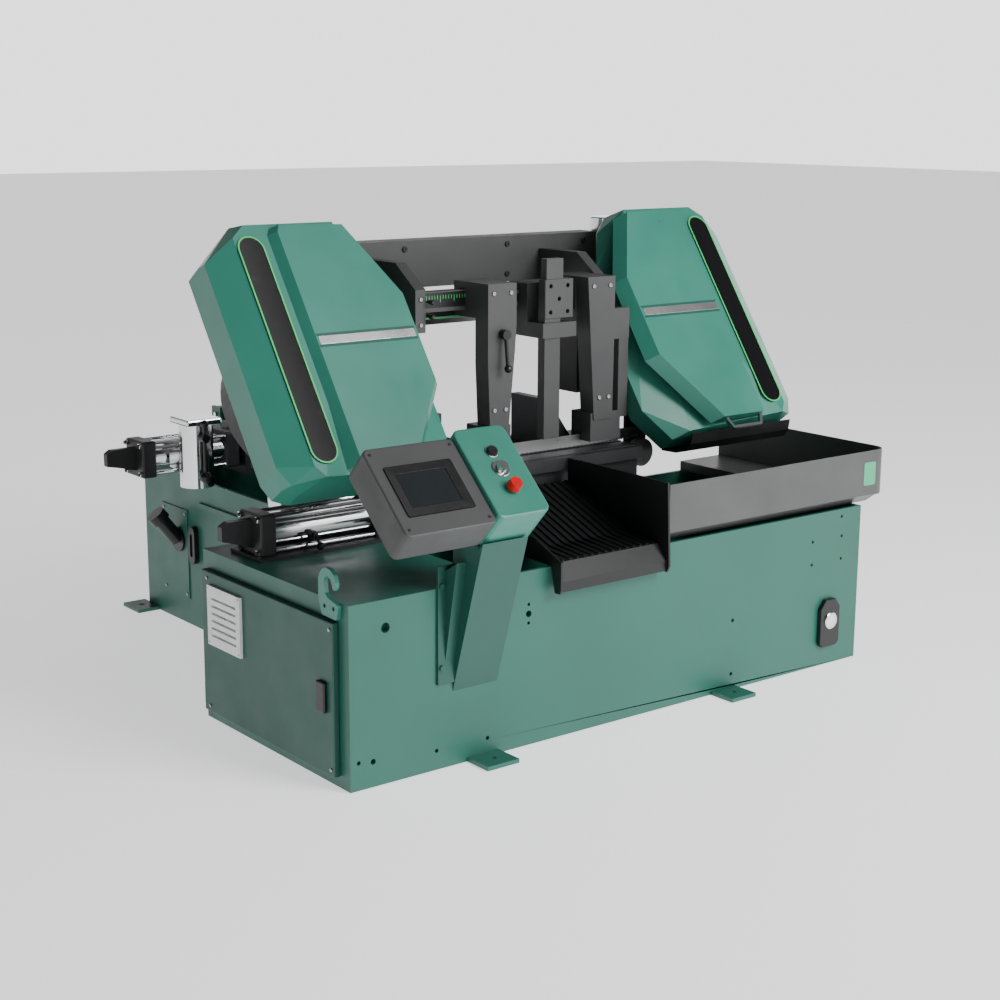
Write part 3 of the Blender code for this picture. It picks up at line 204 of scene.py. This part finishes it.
def paint(name, colour, rough=0.38, grain=900.0, coat=0.08):
    """Sprayed enamel: orange peel, faint mottling and smears."""
    look = Look(name)
    cloud = look.noise(2.2, 5.0)
    tone = look.ramp(cloud, ((0.30, shade(colour, 0.90)), (0.70, shade(colour, 1.08))))
    look.link(tone, look.shader.inputs["Base Color"])
    smear = look.noise(9.0, 6.0)
    look.link(look.level(smear, rough - 0.07, rough + 0.09), look.shader.inputs["Roughness"])
    look.bump(look.noise(grain, 2.0), 0.10, 0.0004)
    look.set(Metallic=0.0, Coat_Weight=coat, Coat_Roughness=0.22)
    return look.mat


def wrinkle(name, colour, rough=0.55):
    """Textured powder coat."""
    look = Look(name)
    cloud = look.noise(4.0, 4.0)
    tone = look.ramp(cloud, ((0.30, shade(colour, 0.86)), (0.72, shade(colour, 1.14))))
    look.link(tone, look.shader.inputs["Base Color"])
    look.link(look.level(look.noise(14.0), rough - 0.08, rough + 0.08),
              look.shader.inputs["Roughness"])
    look.bump(look.noise(520.0, 3.0), 0.28, 0.0006)
    return look.mat


def steel(name, colour, rough=0.26, stretch=(1.0, 1.0, 60.0), scale=40.0, depth=0.08):
    """Ground or brushed metal with fine lines and smudges."""
    look = Look(name)
    lines = look.noise(scale, 3.0, stretch)
    tone = look.ramp(lines, ((0.32, shade(colour, 0.88)), (0.68, shade(colour, 1.06))))
    look.link(tone, look.shader.inputs["Base Color"])
    look.link(look.level(look.noise(6.0, 5.0), rough - 0.05, rough + 0.08),
              look.shader.inputs["Roughness"])
    look.bump(lines, depth, 0.0003)
    look.set(Metallic=1.0)
    return look.mat


def casting(name, colour, rough=0.48):
    """Machined grey iron with an oily film."""
    look = Look(name)
    pits = look.noise(160.0, 6.0)
    cloud = look.noise(5.0, 5.0)
    tone = look.ramp(cloud, ((0.30, shade(colour, 0.80)), (0.72, shade(colour, 1.25))))
    look.link(tone, look.shader.inputs["Base Color"])
    look.link(look.level(cloud, rough - 0.12, rough + 0.08), look.shader.inputs["Roughness"])
    look.bump(pits, 0.18, 0.0005)
    look.set(Metallic=0.7)
    return look.mat


def plastic(name, colour, rough=0.32, grain=1400.0):
    """Moulded plastic with a fine spark texture."""
    look = Look(name)
    cloud = look.noise(30.0, 3.0)
    tone = look.ramp(cloud, ((0.30, shade(colour, 0.93)), (0.70, shade(colour, 1.07))))
    look.link(tone, look.shader.inputs["Base Color"])
    look.link(look.level(look.noise(60.0), rough - 0.05, rough + 0.06),
              look.shader.inputs["Roughness"])
    look.bump(look.noise(grain, 2.0), 0.06, 0.0002)
    return look.mat


MATS = {}


def make_materials():
    """Every finish, made once."""
    MATS["green"] = paint("green_enamel", (0.036, 0.230, 0.170), 0.34)
    # The next two are darker copies of the green enamel, painted shade: the bed's deck, and the
    # pedestal, the door and the groove lips.
    MATS["green_bed_painted_shade"] = paint("green_bed_painted_shade", (0.018, 0.135, 0.098), 0.42)
    MATS["green_dark"] = paint("green_dark", (0.008, 0.085, 0.062), 0.46)
    MATS["lime"] = paint("lime_edge", (0.070, 0.620, 0.170), 0.35)
    MATS["patch"] = paint("pale_green_patch", (0.070, 0.480, 0.250), 0.35)
    MATS["grey"] = wrinkle("grey_coat", (0.058, 0.059, 0.060), 0.50)
    MATS["tray"] = wrinkle("tray_coat", (0.085, 0.088, 0.088), 0.38)
    MATS["dark"] = wrinkle("dark_coat", (0.018, 0.019, 0.020), 0.46)
    MATS["black"] = wrinkle("black_coat", (0.006, 0.0065, 0.007), 0.42)
    MATS["gloss_black"] = plastic("gloss_black", (0.005, 0.005, 0.006), 0.12)
    MATS["black_plastic"] = plastic("black_plastic", (0.008, 0.008, 0.009), 0.32)
    MATS["white"] = plastic("white_plastic", (0.930, 0.940, 0.935), 0.42)
    MATS["red"] = plastic("red_plastic", (0.620, 0.006, 0.006), 0.22)
    MATS["chrome"] = steel("hard_chrome", (0.820, 0.830, 0.845), 0.12, depth=0.03)
    MATS["rod"] = steel("ground_rod", (0.760, 0.770, 0.780), 0.14, (60.0, 1.0, 1.0), depth=0.04)
    MATS["bright"] = steel("bright_strip", (0.900, 0.905, 0.910), 0.24, (60.0, 1.0, 1.0))
    MATS["zinc"] = steel("zinc_screw", (0.500, 0.510, 0.520), 0.30, (1.0, 1.0, 1.0), 400.0)
    MATS["steel"] = steel("bare_steel", (0.500, 0.500, 0.505), 0.30, (40.0, 1.0, 40.0), 30.0)
    MATS["iron"] = casting("grey_iron", (0.055, 0.056, 0.060))
    MATS["bristle"] = casting("wire_bristle", (0.300, 0.300, 0.305), 0.40)


NODE_LOOKS = {
    "green": ("cover_left", "cover_right", "operator_panel", "lifting_hook"),
    # The bed, pedestal and door get the darker green copies as painted shade.
    "green_bed_painted_shade": ("front_bed", "rear_bed"),
    "green_dark": ("control_pedestal", "cabinet_door"),
    "grey": ("bow_frame", "hmi_housing", "guide_arm_left", "guide_arm_right", "height_bar"),
    "tray": ("chip_guard",),
    "dark": ("gearmotor", "lift_cylinder", "vise_cylinder", "feed_vise_cylinder"),
    "black": ("discharge_chute", "casing_left", "casing_right", "splash_guard", "scale_bar"),
    "gloss_black": ("stripe_left", "stripe_right", "touch_screen"),
    "black_plastic": ("filler_neck", "level_gauge", "start_button", "vise_valve_lever",
                      "door_latch", "crank_handle", "clamp_lever"),
    "white": ("door_vent",),
    "red": ("emergency_stop",),
    "chrome": ("column_left", "column_right", "clamp_post", "speed_knob", "lift_rod",
               "handle_left", "handle_right"),
    "rod": ("vise_rod", "feed_vise_rod", "feed_rod_left", "feed_rod_right",
            "infeed_roller_front", "infeed_roller_rear"),
    "steel": ("saw_blade", "cabinet_backplate"),
    "iron": ("work_table", "vise_fixed_jaw", "vise_moving_jaw", "feed_carriage",
             "feed_moving_jaw", "drive_wheel", "idler_wheel"),
    "bristle": ("chip_brush",),
}
FINE_EDGES = {"cover_left": 0.008, "cover_right": 0.008, "front_bed": 0.0025, "rear_bed": 0.0025,
              "bow_frame": 0.003, "work_table": 0.002, "chip_guard": 0.0012,
              "discharge_chute": 0.0010, "control_pedestal": 0.006}
PLAIN_EDGE = 0.0012            # rounding of every other CAD node


def edge_break(ob, width, segments=2):
    """Rounds the edges of a piece and shades it smooth."""
    flat = ob.modifiers.new("flat", "DECIMATE")
    flat.decimate_type = "DISSOLVE"
    flat.angle_limit = math.radians(0.8)
    mod = ob.modifiers.new("edge", "BEVEL")
    mod.width = width
    mod.segments = segments
    mod.limit_method = "ANGLE"
    mod.angle_limit = math.radians(32.0)
    mod.use_clamp_overlap = True
    mod.harden_normals = True
    for face in ob.data.polygons:
        face.use_smooth = True


def dress_nodes():
    """Finish and broken edges on every CAD node that stays."""
    for look, names in NODE_LOOKS.items():
        for name in names:
            ob = NODES[name]
            for slot in ob.material_slots:
                slot.material = MATS[look]
            edge_break(ob, FINE_EDGES.get(name, PLAIN_EDGE))


# ---------------------------------------------------------------- shape helpers
def finish_piece(bm, name, look, body, edge=0.0, segments=2):
    """Mesh to a named piece that rides on its body."""
    bmesh.ops.recalc_face_normals(bm, faces=bm.faces)
    mesh = bpy.data.meshes.new(name)
    bm.to_mesh(mesh)
    bm.free()
    mesh.materials.append(MATS[look])
    ob = bpy.data.objects.new(name, mesh)
    bpy.context.scene.collection.objects.link(ob)
    if edge > 0.0:
        edge_break(ob, edge, segments)
    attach(ob, body)
    return ob


def add_block(bm, x, y, z):
    """Axis-aligned block between pairs."""
    made = bmesh.ops.create_cube(bm, size=1.0)["verts"]
    bmesh.ops.scale(bm, vec=(x[1] - x[0], y[1] - y[0], z[1] - z[0]), verts=made)
    centre = ((x[0] + x[1]) / 2, (y[0] + y[1]) / 2, (z[0] + z[1]) / 2)
    bmesh.ops.translate(bm, vec=centre, verts=made)
    return made


def add_turned(bm, start, axis, profile, segments=40):
    """Turned solid: profile is (distance along axis, radius), closed at both ends."""
    axis = Vector(axis).normalized()
    side = axis.orthogonal().normalized()
    other = axis.cross(side)
    start = Vector(start)
    rings = []
    for along, radius in profile:
        ring = []
        for i in range(segments):
            turn = 2.0 * math.pi * i / segments
            offset = (side * math.cos(turn) + other * math.sin(turn)) * radius
            ring.append(bm.verts.new(start + axis * along + offset))
        rings.append(ring)
    for first, second in zip(rings, rings[1:]):
        for i in range(segments):
            j = (i + 1) % segments
            bm.faces.new((first[i], first[j], second[j], second[i]))
    bm.faces.new(list(reversed(rings[0])))
    bm.faces.new(rings[-1])


def add_prism(bm, outline, low, high, place):
    """Outline (a, b) swept from low to high, where place(a, b, t) gives the point."""
    near = [bm.verts.new(place(a, b, low)) for a, b in outline]
    far = [bm.verts.new(place(a, b, high)) for a, b in outline]
    bm.faces.new(near)
    bm.faces.new(list(reversed(far)))
    for i in range(len(outline)):
        j = (i + 1) % len(outline)
        bm.faces.new((near[j], near[i], far[i], far[j]))


def arc(cx, cy, radius, start, sweep, count=7):
    """Points of an arc."""
    points = []
    for i in range(count):
        turn = math.radians(start + sweep * i / (count - 1))
        points.append((cx + radius * math.cos(turn), cy + radius * math.sin(turn)))
    return points


def round_box(low, high, radius, count=6):
    """Rounded rectangle outline from its two corners."""
    points = []
    for cx, cy, start in ((high[0] - radius, high[1] - radius, 0.0),
                          (low[0] + radius, high[1] - radius, 90.0),
                          (low[0] + radius, low[1] + radius, 180.0),
                          (high[0] - radius, low[1] + radius, 270.0)):
        points += arc(cx, cy, radius, start, 90.0, count)
    return points


def tilt_at(x, s, h):
    """Point of the bow: s up along the lean, h outward from the blade plane."""
    return Vector((x, 0.0, STRAND_Z)) + TILT_UP * s + TILT_OUT * h


def panel_at(a, b, t):
    """Point of the control head: a along X, b up the slope, t outward."""
    return Vector((a, 0.0, 0.0)) + PANEL_LOW + PANEL_UP * b + PANEL_OUT * t


def front_at(a, b, t):
    """Point on a face that looks towards the operator."""
    return Vector((a, t, b))


def add_screw(bm, place, axis, radius, height=None):
    """Socket-head or button-head screw with a round recess."""
    height = height or radius * 0.8
    socket = radius * 0.45
    axis = Vector(axis).normalized()
    profile = ((0.0, radius), (height * 0.75, radius), (height, radius * 0.82),
               (height, socket), (height * 0.45, socket * 0.98))
    add_turned(bm, place, axis, profile, 20)


def screws(name, places, axis, radius, body, look="zinc", height=None):
    """One piece with a screw at each place."""
    bm = bmesh.new()
    for place in places:
        add_screw(bm, place, axis, radius, height)
    return finish_piece(bm, name, look, body)


# ---------------------------------------------------------------- cover and blade details
FACE_H = 0.2563                # raised face of a cover, off the blade plane
STRIPE_H = 0.2372              # top of a stripe, off the blade plane
STRIPE_MID, STRIPE_R = 0.852, 0.042    # middle and half width of a stripe
STRIPE_LOW, STRIPE_HIGH = -0.058, 0.640    # ends of a stripe, up the lean
STRIPE_EDGE = 0.0045           # width of the light edge of a stripe


def stadium(mid, low, high, radius):
    """Upright stadium outline."""
    top = arc(mid, high - radius, radius, 0.0, 180.0, 13)
    return top + arc(mid, low + radius, radius, 180.0, 180.0, 13)


def cover_details(side, body, word):
    """Bright strip with dark green lips along it as painted shadow of the groove, the hinge leaf
    and the light edge of the stripe.
    """
    def place(a, b, t):
        return tilt_at(side * a, b, t)
    bm = bmesh.new()
    add_prism(bm, round_box((0.440, 0.2815), (0.758, 0.3065), 0.002, 3), FACE_H - 0.001,
              FACE_H + 0.0012, place)
    finish_piece(bm, "trim_strip_" + word, "bright", body, 0.0004)
    # Dark green slabs above and below the bright strip: painted shadow where the groove's edges
    # would shade it.
    for level, tag in ((0.2765, "low"), (0.3115, "high")):
        bm = bmesh.new()
        add_prism(bm, [(0.436, level - 0.0035), (0.762, level - 0.0035), (0.762, level + 0.0035),
                       (0.436, level + 0.0035)], FACE_H - 0.001, FACE_H + 0.0006, place)
        finish_piece(bm, "trim_painted_shadow_%s_%s" % (tag, word), "green_dark", body)
    bm = bmesh.new()
    leaf = [(0.600, 0.0746), (0.640, 0.0746), (0.687, 0.110), (0.6985, 0.1155),
            (0.6985, 0.1225), (0.690, 0.124), (0.600, 0.0800)]
    add_prism(bm, leaf, 0.758, 0.792, lambda a, b, t: tilt_at(side * t, a, b))
    finish_piece(bm, "hinge_leaf_" + word, "dark", "bow", 0.0006)
    outer = stadium(STRIPE_MID, STRIPE_LOW, STRIPE_HIGH, STRIPE_R)
    inner = stadium(STRIPE_MID, STRIPE_LOW + STRIPE_EDGE, STRIPE_HIGH - STRIPE_EDGE,
                    STRIPE_R - STRIPE_EDGE)
    bm = bmesh.new()
    low_out = [bm.verts.new(place(a, b, STRIPE_H - 0.0010)) for a, b in outer]
    top_out = [bm.verts.new(place(a, b, STRIPE_H + 0.0010)) for a, b in outer]
    low_in = [bm.verts.new(place(a, b, STRIPE_H - 0.0010)) for a, b in inner]
    top_in = [bm.verts.new(place(a, b, STRIPE_H + 0.0010)) for a, b in inner]
    for i in range(len(outer)):
        j = (i + 1) % len(outer)
        bm.faces.new((low_out[i], low_out[j], top_out[j], top_out[i]))
        bm.faces.new((top_out[i], top_out[j], top_in[j], top_in[i]))
        bm.faces.new((top_in[i], top_in[j], low_in[j], low_in[i]))
        bm.faces.new((low_in[i], low_in[j], low_out[j], low_out[i]))
    finish_piece(bm, "stripe_edge_" + word, "lime", body)


TOOTH_PITCH, TOOTH_DEPTH = 0.0085, 0.0052
TOOTH_ROOT = 0.0165            # from the middle of the strip to the roots
TOOTH_HALF = 0.00055           # half the thickness of a tooth
TOOTH_SET = 0.0005             # sideways set, left and right in turn
STRAND_HALF = 0.5              # the teeth are set out over this half length
TWIST_START, TWIST_END = 0.33, 0.62    # the strip turns upright between these


def strand_twist(reach):
    """How far the strip has turned upright, 0 to 1, at a distance from the middle."""
    if reach < TWIST_START:
        return 1.0
    part = (TWIST_END - reach) / (TWIST_END - TWIST_START)
    return part * part * (3.0 - 2.0 * part)


def toothed_blade():
    """Teeth along the cutting strand, set left and right in turn."""
    bm = bmesh.new()
    for i in range(int(2.0 * STRAND_HALF / TOOTH_PITCH)):
        x = -STRAND_HALF + TOOTH_PITCH * i
        turn = -(math.pi / 2 - TILT) * strand_twist(abs(x)) - TILT
        down = Vector((0.0, math.cos(turn), math.sin(turn)))
        out = Vector((0.0, -down.z, down.y))
        root = Vector((x, 0.0, STRAND_Z)) + down * TOOTH_ROOT
        lean = TOOTH_SET if i % 2 else -TOOTH_SET
        tip = root + down * TOOTH_DEPTH + Vector((TOOTH_PITCH * 0.15, 0.0, 0.0)) + out * lean
        corners = (root, root + Vector((TOOTH_PITCH * 0.95, 0.0, 0.0)), tip)
        near, far = ([bm.verts.new(p + out * shift) for p in corners]
                     for shift in (TOOTH_HALF, -TOOTH_HALF))
        bm.faces.new(near)
        bm.faces.new(list(reversed(far)))
        for a in range(3):
            b = (a + 1) % 3
            bm.faces.new((near[b], near[a], far[a], far[b]))
    finish_piece(bm, "blade_teeth", "steel", "bow")


# ---------------------------------------------------------------- bow details
ARM_FACE = -0.0502             # y of the screws on the front of both guide arms
BEAM_FACE = 0.350              # y of the beam's front
RAIL_FRONT = 0.06190           # just in front of the guide rail
FORWARD = (0, -1, 0)           # towards the operator


def bow_details():
    """Screws, scale plate with its marks and the two rail knobs on the bow."""
    spots = ((-0.164, 1.205), (-0.100, 1.205), (-0.160, 0.86), (-0.118, 0.86))
    screws("arm_screws_left", [(x, ARM_FACE, z) for x, z in spots], FORWARD, 0.0065,
           "left_arm", "zinc", 0.004)
    spots = ((0.222, 1.205), (0.288, 1.205), (0.250, 0.86), (0.288, 0.86))
    screws("arm_screws_right", [(x, ARM_FACE, z) for x, z in spots], FORWARD, 0.0065,
           "bow", "zinc", 0.004)
    places = [(x, BEAM_FACE - 0.0002, z) for x in (-0.50, -0.20, 0.20, 0.52)
              for z in (1.215, 1.310)]
    screws("beam_screws", places, FORWARD, 0.009, "bow", "dark", 0.005)
    places = [(side * 0.349, 0.0578, z) for side in (-1, 1) for z in (1.115, 1.190)]
    screws("rail_screws", places, FORWARD, 0.006, "bow", "zinc", 0.004)
    bm = bmesh.new()
    for i in range(66):
        x = -0.325 + 0.01 * i
        tall = 0.020 if i % 5 == 0 else 0.011
        add_block(bm, (x - 0.0009, x + 0.0009), (0.06153, 0.06164), (1.198 - tall, 1.198))
    finish_piece(bm, "scale_marks", "lime", "bow")
    bm = bmesh.new()
    add_block(bm, (-0.330, 0.330), (0.06164, RAIL_FRONT), (1.1620, 1.2060))
    finish_piece(bm, "scale_plate", "black_plastic", "bow")
    bm = bmesh.new()
    add_block(bm, (-0.328, 0.328), (0.1172, 0.1186), (1.1225, 1.1275))
    finish_piece(bm, "scale_line", "lime", "bow")
    for z, tag in ((1.140, "low"), (1.182, "high")):
        bm = bmesh.new()
        add_turned(bm, (-0.3222, 0.0610, z), FORWARD,
                   ((0.0, 0.004), (0.012, 0.004), (0.014, 0.0070), (0.026, 0.0075), (0.030, 0.005)),
                   28)
        finish_piece(bm, "rail_knob_" + tag, "black_plastic", "bow")


# ---------------------------------------------------------------- control head details
DEVICE_X = -0.556              # line of the button, knob and stop
HEAD_FACE = 0.0122             # foot of the ring and the flange, off the panel plane


def control_details():
    """Bezel, dark screen glass, knob flange, button ring and corner screws."""
    bm = bmesh.new()
    outer = round_box((-0.8895, 0.0555), (-0.6825, 0.2095), 0.006)
    inner = round_box((-0.868, 0.080), (-0.712, 0.185), 0.002)
    lows, tops = [], []
    for outline, rise in ((outer, 0.0030), (inner, 0.0038)):
        lows.append([bm.verts.new(panel_at(a, b, 0.0005)) for a, b in outline])
        tops.append([bm.verts.new(panel_at(a, b, rise)) for a, b in outline])
    for i in range(len(outer)):
        j = (i + 1) % len(outer)
        bm.faces.new((lows[0][i], lows[0][j], tops[0][j], tops[0][i]))
        bm.faces.new((tops[0][i], tops[0][j], tops[1][j], tops[1][i]))
        bm.faces.new((tops[1][i], tops[1][j], lows[1][j], lows[1][i]))
        bm.faces.new((lows[1][i], lows[1][j], lows[0][j], lows[0][i]))
    finish_piece(bm, "screen_bezel", "black_plastic", "base", 0.0006)
    bm = bmesh.new()
    add_prism(bm, [(-0.868, 0.080), (-0.712, 0.080), (-0.712, 0.185), (-0.868, 0.185)], 0.0018,
              0.0024, panel_at)
    finish_piece(bm, "screen_glass", "screen", "base")
    bm = bmesh.new()
    add_turned(bm, panel_at(DEVICE_X, 0.150, HEAD_FACE), PANEL_OUT,
               ((0.0, 0.026), (0.002, 0.026), (0.0035, 0.0245), (0.0035, 0.0185)), 40)
    finish_piece(bm, "knob_flange", "chrome", "base")
    bm = bmesh.new()
    add_turned(bm, panel_at(DEVICE_X, 0.205, HEAD_FACE), PANEL_OUT,
               ((0.0, 0.019), (0.0022, 0.019), (0.0033, 0.0178), (0.0033, 0.0165)), 40)
    finish_piece(bm, "button_ring", "chrome", "base")
    places = [panel_at(x, b, -0.0002) for x in (-0.906, -0.658) for b in (0.020, 0.254)]
    screws("housing_screws", places, PANEL_OUT, 0.0045, "base", "dark", 0.002)


# ---------------------------------------------------------------- bed details
def bed_details():
    """Front gauge with its guard, and the pale patch on the chip guard."""
    bm = bmesh.new()
    x0, x1 = 0.792, 0.880
    outline = [(x0, 0.075), (x0 + 0.012, 0.062), (x1 - 0.012, 0.062), (x1, 0.075), (x1, 0.190),
               (x1 - 0.022, 0.218), (x0 + 0.022, 0.218), (x0, 0.190)]
    add_prism(bm, outline, -0.5003, -0.5160, front_at)
    finish_piece(bm, "gauge_guard", "black_plastic", "base", 0.003, 3)
    mid = (x0 + x1) / 2
    bm = bmesh.new()
    add_turned(bm, (mid, -0.5155, 0.148), FORWARD,
               ((0.0, 0.027), (0.004, 0.027), (0.0055, 0.025), (0.0055, 0.021), (0.003, 0.0205)),
               36)
    finish_piece(bm, "gauge_rim", "chrome", "base")
    bm = bmesh.new()
    add_turned(bm, (mid, -0.5180, 0.148), FORWARD, ((0.0, 0.0204), (0.0012, 0.0204)), 36)
    finish_piece(bm, "gauge_face", "white", "base")
    bm = bmesh.new()
    add_prism(bm, round_box((0.975, 0.565), (1.030, 0.640), 0.008), -0.5047, -0.5062, front_at)
    finish_piece(bm, "tray_patch", "patch", "base", 0.0004)


def cylinder_details():
    """Tie rods with their nuts, and the bright barrel, of both vise cylinders."""
    for tag, x0, x1, y, z, body in (("front", -0.914, -0.480, 0.090, 0.569, "base"),
                                    ("feed", -0.786, -0.4285, 1.050, 0.615, "carriage")):
        bm = bmesh.new()
        for sy in (-1, 1):
            for sz in (-1, 1):
                spot = (x0 - 0.0002, y + sy * 0.0470, z + sz * 0.0470)
                add_turned(bm, spot, (-1, 0, 0), ((0.0, 0.0100), (0.007, 0.0100), (0.008, 0.0088),
                                                  (0.008, 0.0060)), 6)
                add_turned(bm, (x0 + 0.0508, spot[1], spot[2]), (1, 0, 0),
                           ((0.0, 0.0070), (x1 - x0 - 0.1016, 0.0070)), 14)
        finish_piece(bm, "tie_rods_" + tag, "chrome", body)
        bm = bmesh.new()
        add_turned(bm, (x0 + 0.0505, y, z), (1, 0, 0),
                   ((0.0, 0.0486), (x1 - x0 - 0.1010, 0.0486)), 48)
        finish_piece(bm, "barrel_" + tag, "chrome", body)


def door_details():
    """Screws of the cabinet door, its vent and the cover plate on the rear bed."""
    places = [(-0.9952, y, z) for y in (-0.44, 0.20) for z in (0.05, 0.43)]
    screws("door_screws", places, (-1, 0, 0), 0.005, "door", "zinc", 0.003)
    places = [(-1.0042, y, z) for y in (0.012, 0.178) for z in (0.249, 0.407)]
    screws("vent_screws", places, (-1, 0, 0), 0.003, "door", "zinc", 0.0012)
    places = [(-0.5722, y, z) for y in (1.125, 1.275) for z in (0.105, 0.385)]
    screws("cover_plate_screws", places, (-1, 0, 0), 0.005, "base", "zinc", 0.003)


def make_screen():
    """Dark glass of the touch screen."""
    look = Look("screen")
    glow = look.ramp(look.noise(3.0), ((0.2, (0.010, 0.014, 0.016)), (0.8, (0.020, 0.026, 0.030))))
    look.link(glow, look.shader.inputs["Base Color"])
    look.link(look.level(look.noise(50.0), 0.08, 0.14), look.shader.inputs["Roughness"])
    look.set(Coat_Weight=0.6, Coat_Roughness=0.05)
    MATS["screen"] = look.mat


make_camera()
make_studio()
make_materials()
make_screen()
dress_nodes()
cover_details(-1, "left_cover", "left")
cover_details(1, "right_cover", "right")
toothed_blade()
bow_details()
control_details()
bed_details()
cylinder_details()
door_details()
